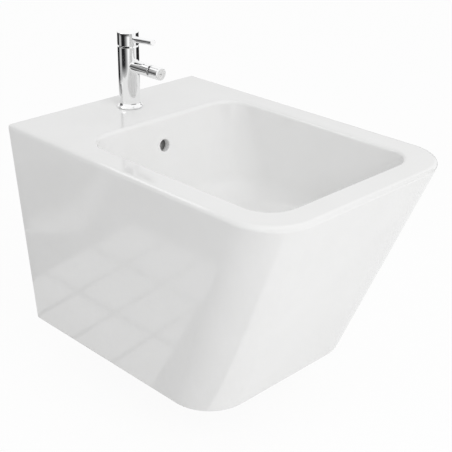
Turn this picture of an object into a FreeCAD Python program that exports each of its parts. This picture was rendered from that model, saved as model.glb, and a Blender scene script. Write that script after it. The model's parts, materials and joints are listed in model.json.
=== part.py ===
"""Wall-hung bidet with a single-lever mixer tap and a push-button waste.

Millimetres, +Z up.  The wall is the plane Y = 0 and the bidet reaches out of it towards -Y.
The origin lies on the wall, midway between the two wall fixings.
"""
import FreeCAD
import Part

import math
import os

V = FreeCAD.Vector
X_AXIS = V(1, 0, 0)
Y_AXIS = V(0, 1, 0)
Z_AXIS = V(0, 0, 1)
ORIGIN = V(0, 0, 0)

# Shared values
OVERRUN = 2.0               # how far a cutting tool runs past the face it cuts
RUNNING = 0.05              # gap between pieces that turn or slide on each other
LOOSE = 0.3                 # gap between pieces that only have to stay clear

# Ceramic body, outside
RIM_WIDTH = 360.0
RIM_DEPTH = 517.5
BODY_HEIGHT = 326.0
FOOT_WIDTH = 310.5
FOOT_DEPTH = 386.0
FRONT_CORNER = 69.5         # plan radius of the two front corners at the rim
FOOT_CORNER = 63.5          # and at the foot
RIM_EDGE = 6.0              # rounding between the rim and the outer walls
FOOT_EDGE = 4.0
REAR_EDGE = 2.5             # rounding round the face that lies on the wall
RIM_ABOVE_FIXINGS = 85.0

# Ceramic body, walls
OUTER_WALL = 10.0
DECK = 14.0                 # thickness of the deck that carries the tap
REAR_WALL = 13.0
FOOT_PLATE = 10.0
BOWL_WALL = 10.0

# Bowl
SIDE_RIM = 39.2             # width of the rim beside the bowl
FRONT_RIM = 42.2
DECK_DEPTH = 127.0          # wall to the rear edge of the bowl
BOWL_DEPTH = 150.0
BOWL_CORNER = 42.0          # plan radius of the bowl at the rim
BOWL_FLOOR_CORNER = 66.0    # and at the floor
BOWL_SIDE_INSET = 13.0      # how far a side wall leans in from rim to floor
BOWL_REAR_INSET = 22.0
BOWL_LIP = 6.0              # rounding where the rim turns down into the bowl
FLOOR_ROUNDING = 48.0       # rounding between bowl walls and floor
DISH_RADIUS = 1500.0        # the floor falls towards the waste on this radius

# Overflow
OVERFLOW_DROP = 41.5        # rim to the centre of the overflow hole
OVERFLOW_RADIUS = 9.0
OVERFLOW_EDGE = 2.0
DUCT_WIDTH = 44.0
DUCT_GAP = 12.0
DUCT_WALL = 9.0

# Openings for plumbing
SERVICE_WIDTH = 170.0       # opening in the rear wall for the trap and the supplies
SERVICE_BELOW_FIXINGS = 62.0
SERVICE_CORNER = 24.0
SERVICE_SILL = 26.0         # wall left standing above the foot plate
HATCH_MARGIN = 55.0         # foot plate left round the access opening underneath
HATCH_CORNER = 45.0

# Wall fixings
FIXING_SPACING = 180.0
FIXING_STUD_RADIUS = 6.0    # M12 stud in the wall
FIXING_BUSH_BORE = 6.5
FIXING_BUSH_RADIUS = 12.0
FIXING_BUSH_HEAD = 19.0
FIXING_BUSH_HEAD_DEPTH = 3.5
FIXING_WASHER_RADIUS = 15.0
FIXING_WASHER_DEPTH = 2.5
FIXING_NUT_FLATS = 19.0
FIXING_NUT_DEPTH = 10.0

# Waste fitting
WASTE_SETBACK = 232.0       # wall to the waste axis
WASTE_HOLE = 23.0
WASTE_RECESS = 2.5          # step that lets the flange sink into the floor
WASTE_FLANGE = 31.5
WASTE_FLANGE_DEPTH = 3.5
WASTE_FLANGE_EDGE = 1.8     # bevel round the flange
WASTE_RECESS_MARGIN = 1.5
WASTE_GASKET = 2.0
WASTE_TUBE = 20.9
WASTE_TUBE_WALL = 2.5       # at the plain end
WASTE_THREAD_END = 3.0      # thread left below the back nut
WASTE_TAIL = 28.0           # plain end that the trap slides onto
WASTE_TAIL_RADIUS = 20.0
WASTE_BOSS = 41.0           # ceramic boss that the nut clamps
WASTE_SLOT_COUNT = 4
WASTE_SLOT_WIDTH = 13.0
WASTE_NUT_FLATS = 60.0
WASTE_NUT_DEPTH = 10.0
WASTE_WASHER_DEPTH = 2.0
LOWER_GASKET_DEPTH = 4.0
LOWER_GASKET_RADIUS = 31.0
SPIDER_DROP = 26.0          # flange top to the top of the cross that carries the plug
SPIDER_DEPTH = 7.0
SPIDER_ARM = 3.0
SPIDER_ARM_COUNT = 3

# Push-button plug
PLUG_RADIUS = 21.0
PLUG_SEAT_MARGIN = 1.0      # side gap between the plug and its recess in the flange
PLUG_RIM = 1.8
PLUG_CROWN = 2.2            # height of the domed top above the rim
PLUG_SEAL = 1.4
PLUG_TRAVEL = 8.0
PLUG_STEM = 3.5
PISTON_RADIUS = 5.2
PISTON_DEPTH = 3.0
SLEEVE_WALL = 1.6
SLEEVE_LID = 2.0
SPRING_WIRE = 0.8
SPRING_TURNS = 5
SPRING_LENGTH = 13.0        # pressed length, plug down

# Tap: body and spout
TAP_SETBACK = 54.9          # wall to the tap axis
TAP_HOLE = 16.0
TAP_RADIUS = 15.6
TAP_FOOT = 19.0
TAP_FOOT_DEPTH = 2.6
TAP_FLARE = 5.5             # height of the sweep from the foot into the body
TAP_STANDOFF = 0.5          # the seal holds the tap this far off the deck
SPOUT_HEIGHT = 64.0
SPOUT_RADIUS = 9.2
SPOUT_REACH = 50.4          # tap axis to the end of the fixed spout
SPOUT_BLEND = 1.0
WATERWAY_WIDTH = 3.4
WATERWAY_HEIGHT = 6.5
WATERWAY_DROP = 4.0         # spout axis down to the middle of the waterway
SEAT_WEB = 1.25             # metal between the waterway and the cartridge seat
CHAMBER_RADIUS = 12.7

# Tap: fixing to the deck
SEAL_DEPTH = 1.6
SEAL_WIDTH = 1.9
SEAL_INSET = 0.6
STUD_OFFSET = 10.2          # tap axis to the fixing stud, towards the wall
STUD_RADIUS = 4.0
STUD_GRIP = 12.0            # length screwed into the tap
STUD_DROP = 48.0            # length below the deck's underside
SHOE_RADIUS = 25.0
SHOE_SLOT = 23.0            # slot in the horseshoe that clears the supply hoses
SHOE_WEB = 2.0
SHOE_GASKET = 3.0
SHOE_PLATE = 3.0
STUD_NUT_FLATS = 13.0
STUD_NUT_DEPTH = 14.0
INLET_RADIUS = 4.5
INLET_DEPTH = 12.0
INLET_SPREAD = 5.6          # tap axis to each supply inlet, sideways

# Cartridge
PORT_SPREAD = 4.6
PORT_FORWARD = 3.4
PORT_RADIUS = 2.1
OUTLET_BACK = 4.5
OUTLET_RADIUS = 2.4
PORT_SEAL_WIDTH = 1.3
PORT_SEAL_DEPTH = 1.2
PLATE_STANDOFF = 0.3
PLATE_DEPTH = 3.5
CARTRIDGE_RADIUS = 12.5
CARTRIDGE_WALL = 1.0
FIXED_DISC_DEPTH = 3.5
MOVING_DISC_RADIUS = 8.4
MOVING_DISC_DEPTH = 3.2
POCKET_DEPTH = 1.6
POCKET_RADIUS = 4.2
CARRIER_PLATE = 1.2
CARRIER_BLOCK = 2.6
CARRIER_BLOCK_WIDTH = 11.6
CARRIER_BLOCK_LENGTH = 8.4
TIP_RADIUS = 2.2
TIP_FLOOR = 0.6             # carrier left under the tip of the spindle
TIP_PLAY = 0.15
ARM_RADIUS = 1.4
ARM_LENGTH = 8.7            # pivot to tip
ROTOR_NECK = 8.0
ROTOR_FLANGE_DEPTH = 2.5
ROTOR_ABOVE_PIVOT = 7.0
PRONG_WIDTH = 1.9
PRONG_LENGTH = 7.0
SHOULDER_DEPTH = 3.0
HOUSING_NECK_WALL = 2.0
HOUSING_ABOVE_PIVOT = 5.0
PIVOT_PIN = 1.2
SPINDLE_WIDTH = 7.0
SPINDLE_BELOW_PIVOT = 3.2
LIFT_ANGLE = 20.0           # travel of the lever, from shut to full flow
RING_NUT_DEPTH = 6.3
RING_NUT_NOTCHES = 6
RING_NUT_NOTCH = 3.0
RING_NUT_NOTCH_DEPTH = 2.0

# Handle
PIVOT_TO_EDGE = 5.0         # pivot up to the top edge of the tap's straight side
DOME_LAND = 1.5             # rise of the dome between that edge and the dome ring
DOME_WALL = 1.6
DOME_OPENING = 10.5
CAP_GAP = 0.6               # running gap between the dome and the cap
GROOVE = 2.9                # height of the groove seen between body and cap
CAP_HEIGHT = 18.6
CAP_EDGE = 0.7
SOCKET_PLAY = 0.1
SPINDLE_IN_CAP = 6.0
LEVER_RADIUS = 4.5
LEVER_REACH = 56.0          # tap axis to the lever's free end
LEVER_RISE = 4.2            # degrees above level
LEVER_ABOVE_RIM = 8.4       # cap's lower rim up to the lever's axis
LEVER_SINK = 2.0            # depth of the lever's seat in the cap
LEVER_TAIL_RADIUS = 2.0
LEVER_TAIL = 4.5
LEVER_EDGE = 0.6
SCREW_RADIUS = 2.5
SCREW_LENGTH = 6.0
SCREW_SOCKET = 1.25         # half the width across flats of its key socket
SCREW_SOCKET_DEPTH = 2.5

# Swivel nozzle
NOZZLE_GAP = 3.0            # dark gap between the fixed spout and the nozzle
NOZZLE_LENGTH = 18.7
NOZZLE_EDGE = 1.0
NOZZLE_REAR_EDGE = 1.1
BALL_FORWARD = 10.0         # end of the spout to the centre of the ball
BALL_RADIUS = 5.0
BALL_NECK = 3.0
BALL_BORE = 1.8
BALL_THREAD = 6.0
BALL_THREAD_LENGTH = 9.0
LINER_WALL = 1.26
LINER_REAR = 2.4            # reach of the liner behind the ball's centre
LINER_FRONT = 3.6           # and in front of it
COLLAR_RADIUS = 7.6
AERATOR_RADIUS = 7.4
AERATOR_LENGTH = 4.8
AERATOR_INSET = 0.4
AERATOR_WALL = 1.0
AERATOR_FACE = 2.4
AERATOR_HOLE = 0.45
AERATOR_HUB_HOLE = 1.3
AERATOR_RING_SHARES = ((6, 0.42), (12, 0.76))   # holes in each ring, and its share of the radius
AERATOR_SEAL = 1.6

# Levels and places that follow from the sizes above
RIM_Z = RIM_ABOVE_FIXINGS
FOOT_Z = RIM_Z - BODY_HEIGHT
DECK_UNDER_Z = RIM_Z - DECK
FLOOR_Z = RIM_Z - BOWL_DEPTH
FRONT_LEAN = (RIM_DEPTH - FOOT_DEPTH) / BODY_HEIGHT
SIDE_LEAN = (RIM_WIDTH - FOOT_WIDTH) / 2 / BODY_HEIGHT
FRONT_WALL = OUTER_WALL * math.hypot(1, FRONT_LEAN)
TAP_Y = -TAP_SETBACK
TAP_Z = RIM_Z + TAP_STANDOFF
WASTE_Y = -WASTE_SETBACK
DUCT_DEPTH = BOWL_WALL + DUCT_GAP + DUCT_WALL

# Heights in the tap, counted from its foot
WATERWAY_Z = SPOUT_HEIGHT - WATERWAY_DROP
SEAT_Z = WATERWAY_Z + WATERWAY_HEIGHT / 2 + SEAT_WEB
PLATE_Z = SEAT_Z + PLATE_STANDOFF
FIXED_DISC_Z = PLATE_Z + PLATE_DEPTH
MOVING_DISC_Z = FIXED_DISC_Z + FIXED_DISC_DEPTH + RUNNING
CARRIER_Z = MOVING_DISC_Z + MOVING_DISC_DEPTH
BLOCK_TOP_Z = CARRIER_Z + CARRIER_PLATE + CARRIER_BLOCK
TIP_Z = CARRIER_Z + TIP_FLOOR + TIP_RADIUS
PIVOT_Z = TIP_Z + ARM_LENGTH
ROTOR_Z = BLOCK_TOP_Z + LOOSE
SHOULDER_Z = ROTOR_Z + ROTOR_FLANGE_DEPTH + RUNNING
RING_NUT_Z = SHOULDER_Z + SHOULDER_DEPTH
EDGE_Z = PIVOT_Z + PIVOT_TO_EDGE
LAND_Z = EDGE_Z + DOME_LAND
CAP_Z = EDGE_Z + GROOVE
CAP_TOP_Z = CAP_Z + CAP_HEIGHT
DOME_RADIUS = math.hypot(TAP_RADIUS, PIVOT_TO_EDGE)
CAP_HOLLOW = DOME_RADIUS + CAP_GAP
SPINDLE_TOP_Z = PIVOT_Z + CAP_HOLLOW + SPINDLE_IN_CAP
LEVER_Z = CAP_Z + LEVER_ABOVE_RIM

# Places along the spout, counted from the tap axis
BALL_AT = SPOUT_REACH + BALL_FORWARD
NOZZLE_REAR = SPOUT_REACH + NOZZLE_GAP
NOZZLE_FRONT = NOZZLE_REAR + NOZZLE_LENGTH
LINER_RADIUS = BALL_RADIUS + RUNNING + LINER_WALL
SEAT_RADIUS = LINER_RADIUS + RUNNING
AERATOR_REAR = NOZZLE_FRONT - AERATOR_INSET - AERATOR_LENGTH

# Heights in the waste, counted from the bowl floor
GASKET_Z = -WASTE_RECESS
FLANGE_Z = GASKET_Z + WASTE_GASKET
FLANGE_TOP_Z = FLANGE_Z + WASTE_FLANGE_DEPTH
PLUG_STEP_Z = FLANGE_TOP_Z - PLUG_RIM - PLUG_SEAL
PLUG_Z = PLUG_STEP_Z + PLUG_SEAL
CLAMP_Z = -DUCT_DEPTH
LOWER_GASKET_Z = CLAMP_Z - LOWER_GASKET_DEPTH
WASTE_WASHER_Z = LOWER_GASKET_Z - WASTE_WASHER_DEPTH
WASTE_NUT_Z = WASTE_WASHER_Z - WASTE_NUT_DEPTH
THREAD_END_Z = WASTE_NUT_Z - WASTE_THREAD_END
TUBE_END_Z = THREAD_END_Z - WASTE_TAIL
TUBE_BORE = WASTE_TAIL_RADIUS - WASTE_TUBE_WALL
SPIDER_Z = FLANGE_TOP_Z - SPIDER_DROP
SLEEVE_RADIUS = PISTON_RADIUS + RUNNING + SLEEVE_WALL
SPRING_Z = SPIDER_Z - SPIDER_DEPTH - PISTON_DEPTH - SPRING_LENGTH
PISTON_Z = SPRING_Z + SPRING_LENGTH
SLEEVE_TOP_Z = PISTON_Z + PISTON_DEPTH + PLUG_TRAVEL + RUNNING


def disc(radius, low, high, x=0, y=0):
    """Upright cylinder between two heights."""
    return Part.makeCylinder(radius, high - low, V(x, y, low))


def ring(outer, inner, low, high, x=0, y=0):
    """Upright ring between two heights."""
    hole = disc(inner, low - OVERRUN, high + OVERRUN, x, y)
    return disc(outer, low, high, x, y).cut(hole)


def slab(x_low, x_high, y_low, y_high, z_low, z_high):
    """Box between pairs of limits."""
    size = V(x_high - x_low, y_high - y_low, z_high - z_low)
    return Part.makeBox(size.x, size.y, size.z, V(x_low, y_low, z_low))


def ball(radius, z=0):
    """Sphere on the upright axis, its poles and seam turned away from that axis."""
    shape = Part.makeSphere(radius)
    shape.rotate(ORIGIN, Y_AXIS, -90)
    shape.translate(V(0, 0, z))
    return shape


def hexagon(flats, low, high):
    """Upright hexagonal bar."""
    radius = flats / math.sqrt(3)
    turns = [math.radians(60 * step) for step in range(7)]
    points = [V(radius * math.cos(turn), radius * math.sin(turn), low) for turn in turns]
    return Part.Face(Part.makePolygon(points)).extrude(V(0, 0, high - low))


def turned(*points):
    """Solid of revolution about the upright axis from (radius, height) points.

    A point with a third item, "mid", lies on the arc between its neighbours.
    """
    edges = []
    corners = list(points) + [points[0]]
    start = V(corners[0][0], 0, corners[0][1])
    middle = None
    for corner in corners[1:]:
        here = V(corner[0], 0, corner[1])
        if len(corner) > 2:
            middle = here
            continue
        if middle is None:
            edges.append(Part.LineSegment(start, here).toShape())
        else:
            edges.append(Part.Arc(start, middle, here).toShape())
        start = here
        middle = None
    return Part.Face(Part.Wire(edges)).revolve(ORIGIN, Z_AXIS, 360)


def on_sphere(radius, height):
    """Radius, about the axis, of a sphere's surface at a height above its centre."""
    return math.sqrt(radius * radius - height * height)


def repeated(shape, count):
    """Copies of a shape, evenly spaced about the upright axis, as one compound."""
    copies = []
    for step in range(count):
        copy = shape.copy()
        copy.rotate(ORIGIN, Z_AXIS, 360.0 * step / count)
        copies.append(copy)
    return Part.makeCompound(copies)


def at_tap(shape):
    """Moves a shape from the tap's own axis and foot to its place on the deck."""
    shape.translate(V(0, TAP_Y, TAP_Z))
    return shape


def along_spout(shape):
    """Lays a shape along the spout: its height becomes the distance from the tap axis."""
    shape.rotate(ORIGIN, X_AXIS, 90)
    shape.translate(V(0, 0, SPOUT_HEIGHT))
    return shape


def along_lever(shape):
    """Lays a shape along the lever: its height becomes the distance from the tap axis."""
    shape.rotate(ORIGIN, X_AXIS, 90 - LEVER_RISE)
    shape.translate(V(0, 0, LEVER_Z))
    return shape


def at_waste(shape):
    """Moves a shape from its own axis to the waste hole in the bowl floor."""
    shape.translate(V(0, WASTE_Y, FLOOR_Z))
    return shape


def at_fixings(shape):
    """A pair of copies at the wall fixings, the shape's height becoming the distance off the wall."""
    shape.rotate(ORIGIN, X_AXIS, 90)
    pair = []
    for side in (-1, 1):
        copy = shape.copy()
        copy.translate(V(side * FIXING_SPACING / 2, 0, 0))
        pair.append(copy)
    return Part.makeCompound(pair)


def outline(half_width, rear, front, z, front_corner, rear_corner=0):
    """Level rectangle with rounded front corners and, if asked, rounded rear corners."""
    corners = ((-half_width, rear, rear_corner), (-half_width, front, front_corner),
               (half_width, front, front_corner), (half_width, rear, rear_corner))
    places = [V(x, y, z) for x, y, _ in corners]
    edges = []
    leave = None
    first = None
    for index, place in enumerate(places):
        radius = corners[index][2]
        back = (places[index - 1] - place).normalize()
        ahead = (places[(index + 1) % len(places)] - place).normalize()
        start = place + back * radius
        end = place + ahead * radius
        if leave is not None:
            edges.append(Part.LineSegment(leave, start).toShape())
        if radius > 0:
            centre = place + (back + ahead) * radius
            middle = centre + (place - centre).normalize() * radius
            edges.append(Part.Arc(start, middle, end).toShape())
        first = first or start
        leave = end
    edges.append(Part.LineSegment(leave, first).toShape())
    return Part.Wire(edges)


def outer_outline(z, inset=0, rear=0):
    """Plan of the outer walls at a height, drawn in by a wall thickness."""
    above = z - FOOT_Z
    half = FOOT_WIDTH / 2 + SIDE_LEAN * above - inset
    front = -FOOT_DEPTH - FRONT_LEAN * above
    if inset:
        front += FRONT_WALL
    corner = FOOT_CORNER + (FRONT_CORNER - FOOT_CORNER) * above / BODY_HEIGHT
    return outline(half, -rear, front, z, corner - inset)


def bowl_outline(z, grow):
    """Plan of the bowl at a height, grown by a wall thickness."""
    share = (RIM_Z - z) / BOWL_DEPTH
    half = RIM_WIDTH / 2 - SIDE_RIM - share * BOWL_SIDE_INSET + grow
    rear = -DECK_DEPTH - share * BOWL_REAR_INSET + grow
    front = -RIM_DEPTH + FRONT_RIM + FRONT_LEAN * (RIM_Z - z) - grow
    corner = BOWL_CORNER + share * (BOWL_FLOOR_CORNER - BOWL_CORNER) + grow
    return outline(half, rear, front, z, corner, corner)


def bowl_form(grow, top):
    """Solid that fills the bowl up to a height, or the bowl with walls of a thickness round it."""
    bottom = FLOOR_Z - grow - OVERRUN
    walls = Part.makeLoft([bowl_outline(top, grow), bowl_outline(bottom, grow)], True, True)
    dish = ball(DISH_RADIUS + grow, FLOOR_Z + DISH_RADIUS)
    dish.translate(V(0, WASTE_Y, 0))
    form = walls.common(dish)
    floor = [face for face in form.Faces if isinstance(face.Surface, Part.Sphere)][0]
    return form.makeFillet(FLOOR_ROUNDING + grow, floor.Edges)


def on_plane(edge, axis, value):
    """True for an edge whose ends and middle lie on a plane across an axis."""
    middle = edge.valueAt((edge.FirstParameter + edge.LastParameter) / 2)
    points = [vertex.Point for vertex in edge.Vertexes] + [middle]
    return all(abs(getattr(point, axis) - value) < OVERRUN / 100 for point in points)


def outer_block():
    """The outside of the ceramic body, with its softened edges and a flat face for the wall."""
    block = Part.makeLoft([outer_outline(FOOT_Z, 0, -OVERRUN), outer_outline(RIM_Z, 0, -OVERRUN)], True, True)
    block = block.common(slab(-RIM_WIDTH, RIM_WIDTH, -RIM_DEPTH - OVERRUN, 0, FOOT_Z, RIM_Z))
    rim = [edge for edge in block.Edges if on_plane(edge, "z", RIM_Z) and not on_plane(edge, "y", 0)]
    block = block.makeFillet(RIM_EDGE, rim)
    foot = [edge for edge in block.Edges if on_plane(edge, "z", FOOT_Z) and not on_plane(edge, "y", 0)]
    block = block.makeFillet(FOOT_EDGE, foot)
    rear = [edge for edge in block.Edges if on_plane(edge, "y", 0)]
    return block.makeFillet(REAR_EDGE, rear)


def overflow_duct():
    """Ceramic passage behind the bowl, from the overflow hole to the waste: the lump and its hollow."""
    half = DUCT_WIDTH / 2
    low = FLOOR_Z - DUCT_DEPTH
    lump = bowl_form(DUCT_DEPTH, DECK_UNDER_Z)
    lump = lump.common(slab(-half - DUCT_WALL, half + DUCT_WALL, WASTE_Y, 0, low, DECK_UNDER_Z))
    hollow = bowl_form(BOWL_WALL + DUCT_GAP, DECK_UNDER_Z).cut(bowl_form(BOWL_WALL, RIM_Z))
    ceiling = RIM_Z - OVERFLOW_DROP + OVERFLOW_RADIUS + OVERFLOW_EDGE
    hollow = hollow.common(slab(-half, half, WASTE_Y, 0, low, ceiling))
    return lump, hollow


def service_openings():
    """Rear opening for the trap and supplies, and the access opening underneath."""
    half = SERVICE_WIDTH / 2
    low = FOOT_Z + FOOT_PLATE + SERVICE_SILL
    rear = slab(-half, half, -REAR_WALL - OVERRUN, OVERRUN, low, -SERVICE_BELOW_FIXINGS)
    sides = [edge for edge in rear.Edges if abs(edge.tangentAt(edge.FirstParameter).y) > 1 / 2]
    rear = rear.makeFillet(SERVICE_CORNER, sides)
    hatch_half = FOOT_WIDTH / 2 - HATCH_MARGIN
    hatch_front = -FOOT_DEPTH + HATCH_MARGIN
    hatch = outline(hatch_half, -REAR_WALL - OUTER_WALL, hatch_front, FOOT_Z - OVERRUN,
                    HATCH_CORNER, SERVICE_CORNER)
    hatch = Part.Face(hatch).extrude(V(0, 0, FOOT_PLATE + OVERRUN + OVERRUN))
    return rear, hatch


def overflow_hole():
    """Round hole from the bowl's rear wall into the overflow duct."""
    hole = Part.makeCylinder(OVERFLOW_RADIUS, BOWL_REAR_INSET + BOWL_WALL + OVERRUN)
    hole.rotate(ORIGIN, X_AXIS, 90)
    hole.translate(V(0, -DECK_DEPTH + BOWL_WALL - OVERRUN, RIM_Z - OVERFLOW_DROP))
    return hole


def ceramic_body():
    """Outer half of the casting: walls, foot and the deck with the bowl's mouth in it."""
    body = outer_block()
    hollow = Part.makeLoft([outer_outline(FOOT_Z + FOOT_PLATE, OUTER_WALL, REAR_WALL),
                            outer_outline(DECK_UNDER_Z, OUTER_WALL, REAR_WALL)], True, True)
    cavity = bowl_form(0, RIM_Z + OVERRUN)
    body = body.cut(hollow).cut(cavity)
    lip_box = cavity.BoundBox
    lip = [edge for edge in body.Edges
           if on_plane(edge, "z", RIM_Z) and lip_box.isInside(edge.BoundBox)]
    body = body.makeFillet(BOWL_LIP, lip)
    rear, hatch = service_openings()
    bushes = at_fixings(disc(FIXING_BUSH_RADIUS, -OVERRUN, REAR_WALL + OVERRUN))
    tap_hole = disc(TAP_HOLE, DECK_UNDER_Z - OVERRUN, RIM_Z + OVERRUN, 0, TAP_Y)
    for cutter in (rear, hatch, bushes, tap_hole):
        body = body.cut(cutter)
    return body


def ceramic_bowl():
    """Inner half of the casting, which joins the deck from below: bowl, overflow duct and waste boss."""
    lump, passage = overflow_duct()
    boss = at_waste(disc(WASTE_BOSS, CLAMP_Z, 0))
    bowl = bowl_form(BOWL_WALL, DECK_UNDER_Z).fuse([lump, boss]).removeSplitter()
    bowl = bowl.cut(bowl_form(0, RIM_Z)).cut(passage)
    bowl = bowl.cut(overflow_hole())
    mouth = [edge for edge in bowl.Edges if is_overflow_mouth(edge)]
    bowl = bowl.makeFillet(OVERFLOW_EDGE, mouth)
    drain = at_waste(disc(WASTE_HOLE, CLAMP_Z - OVERRUN, OVERRUN))
    recess = at_waste(disc(WASTE_FLANGE + WASTE_RECESS_MARGIN, GASKET_Z, OVERRUN))
    return bowl.cut(drain).cut(recess)


def is_overflow_mouth(edge):
    """True for the closed edge where the overflow hole breaks into the bowl."""
    box = edge.BoundBox
    front = -DECK_DEPTH
    middle = abs(box.Center.z - RIM_Z + OVERFLOW_DROP) < OVERRUN
    round_hole = abs(box.XLength - OVERFLOW_RADIUS - OVERFLOW_RADIUS) < OVERRUN
    return middle and round_hole and box.YMax < front


def fixing_bushes():
    """Plastic bushes that line the wall fixing holes."""
    head_end = REAR_WALL + FIXING_BUSH_HEAD_DEPTH
    bush = turned((FIXING_BUSH_BORE, 0), (FIXING_BUSH_RADIUS, 0), (FIXING_BUSH_RADIUS, REAR_WALL),
                  (FIXING_BUSH_HEAD, REAR_WALL), (FIXING_BUSH_HEAD, head_end),
                  (FIXING_BUSH_BORE, head_end))
    return at_fixings(bush)


def fixing_washers():
    """Steel washers on the bushes."""
    low = REAR_WALL + FIXING_BUSH_HEAD_DEPTH
    return at_fixings(ring(FIXING_WASHER_RADIUS, FIXING_BUSH_BORE, low, low + FIXING_WASHER_DEPTH))


def fixing_nuts():
    """Hexagon nuts for the studs that stand out of the wall."""
    low = REAR_WALL + FIXING_BUSH_HEAD_DEPTH + FIXING_WASHER_DEPTH
    high = low + FIXING_NUT_DEPTH
    bore = disc(FIXING_STUD_RADIUS + RUNNING, low - OVERRUN, high + OVERRUN)
    return at_fixings(hexagon(FIXING_NUT_FLATS, low, high).cut(bore))


def waste_body():
    """Flanged waste tube with overflow slots and the cross that carries the plug."""
    step = PLUG_RADIUS + PLUG_SEAT_MARGIN
    shell = turned((TUBE_BORE, TUBE_END_Z), (WASTE_TAIL_RADIUS, TUBE_END_Z),
                   (WASTE_TAIL_RADIUS, THREAD_END_Z), (WASTE_TUBE, THREAD_END_Z), (WASTE_TUBE, FLANGE_Z),
                   (WASTE_FLANGE, FLANGE_Z), (WASTE_FLANGE, FLANGE_TOP_Z - WASTE_FLANGE_EDGE),
                   (WASTE_FLANGE - WASTE_FLANGE_EDGE, FLANGE_TOP_Z), (step, FLANGE_TOP_Z),
                   (step, PLUG_STEP_Z), (TUBE_BORE, PLUG_STEP_Z))
    low = CLAMP_Z + DUCT_WALL
    slot = slab(0, WASTE_TUBE + OVERRUN, -WASTE_SLOT_WIDTH / 2, WASTE_SLOT_WIDTH / 2, low, low + DUCT_GAP)
    shell = shell.cut(repeated(slot, WASTE_SLOT_COUNT))
    low = SPIDER_Z - SPIDER_DEPTH
    arm = slab(SLEEVE_RADIUS, TUBE_BORE + RUNNING, -SPIDER_ARM / 2, SPIDER_ARM / 2, low, SPIDER_Z)
    hub = ring(SLEEVE_RADIUS + SPIDER_ARM, SLEEVE_RADIUS, low, SPIDER_Z)
    cross = hub.fuse(repeated(arm, SPIDER_ARM_COUNT).Solids)
    return at_waste(shell.fuse(cross).removeSplitter())


def waste_gasket():
    """Rubber ring between the waste flange and the bowl floor."""
    return at_waste(ring(WASTE_FLANGE - WASTE_RECESS_MARGIN, WASTE_TUBE, GASKET_Z, FLANGE_Z))


def lower_gasket():
    """Rubber ring that seals the waste tube under the bowl."""
    return at_waste(ring(LOWER_GASKET_RADIUS, WASTE_TUBE, LOWER_GASKET_Z, CLAMP_Z))


def waste_washer():
    """Slip washer between the lower gasket and the nut."""
    return at_waste(ring(LOWER_GASKET_RADIUS, WASTE_TUBE, WASTE_WASHER_Z, LOWER_GASKET_Z))


def waste_nut():
    """Hexagon back nut that clamps the waste to the bowl."""
    bore = disc(WASTE_TUBE, WASTE_NUT_Z - OVERRUN, WASTE_WASHER_Z + OVERRUN)
    return at_waste(hexagon(WASTE_NUT_FLATS, WASTE_NUT_Z, WASTE_WASHER_Z).cut(bore))


def waste_plug():
    """Domed plug that closes the waste."""
    top = FLANGE_TOP_Z + PLUG_CROWN
    dome = (PLUG_RADIUS * PLUG_RADIUS + PLUG_CROWN * PLUG_CROWN) / 2 / PLUG_CROWN
    return at_waste(disc(PLUG_RADIUS, PLUG_Z, top).common(ball(dome, top - dome)))


def plug_seal():
    """Rubber ring under the plug's rim."""
    return at_waste(ring(PLUG_RADIUS, TUBE_BORE, PLUG_STEP_Z, PLUG_Z))


def plug_stem():
    """Stem and piston that carry the plug in the push-button sleeve."""
    shape = turned((0, PISTON_Z), (PISTON_RADIUS, PISTON_Z), (PISTON_RADIUS, PISTON_Z + PISTON_DEPTH),
                   (PLUG_STEM, PISTON_Z + PISTON_DEPTH), (PLUG_STEM, PLUG_Z), (0, PLUG_Z))
    return at_waste(shape)


def button_sleeve():
    """Sleeve of the push-button, screwed into the cross of the waste."""
    low = SPRING_Z - SLEEVE_WALL
    bore = PISTON_RADIUS + RUNNING
    shape = turned((0, low), (SLEEVE_RADIUS, low), (SLEEVE_RADIUS, SLEEVE_TOP_Z + SLEEVE_LID),
                   (PLUG_STEM + RUNNING, SLEEVE_TOP_Z + SLEEVE_LID), (PLUG_STEM + RUNNING, SLEEVE_TOP_Z),
                   (bore, SLEEVE_TOP_Z), (bore, SPRING_Z), (0, SPRING_Z))
    return at_waste(shape)


def tangent_arc(start, corner, end):
    """Arc between two points, its tangents there meeting in a corner."""
    weight = (end - start).Length / (corner - start).Length / 2
    middle = (start + corner * (weight + weight) + end) / (weight + weight + 2)
    return Part.Arc(start, middle, end).toShape()


def coil_arcs(radius, pitch, half_turns):
    """Rising coil of smooth arcs, two to each half turn."""
    def place(turn):
        return V(radius * math.cos(turn), radius * math.sin(turn), pitch * turn / math.tau)

    def heading(turn):
        slope = pitch / math.tau
        return V(-radius * math.sin(turn), radius * math.cos(turn), slope).normalize()

    arcs = []
    for step in range(half_turns):
        turns = (math.pi * step, math.pi * (step + 1))
        start, end = [place(turn) for turn in turns]
        leave, arrive = [heading(turn) for turn in turns]
        chord = end - start
        along = chord.dot(leave + arrive)
        spread = 2 - 2 * leave.dot(arrive)
        reach = (math.sqrt(along * along + spread * chord.dot(chord)) - along) / spread
        first_corner = start + leave * reach
        last_corner = end - arrive * reach
        join = (first_corner + last_corner) / 2
        arcs.append(tangent_arc(start, first_corner, join))
        arcs.append(tangent_arc(join, last_corner, end))
    return arcs


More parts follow.
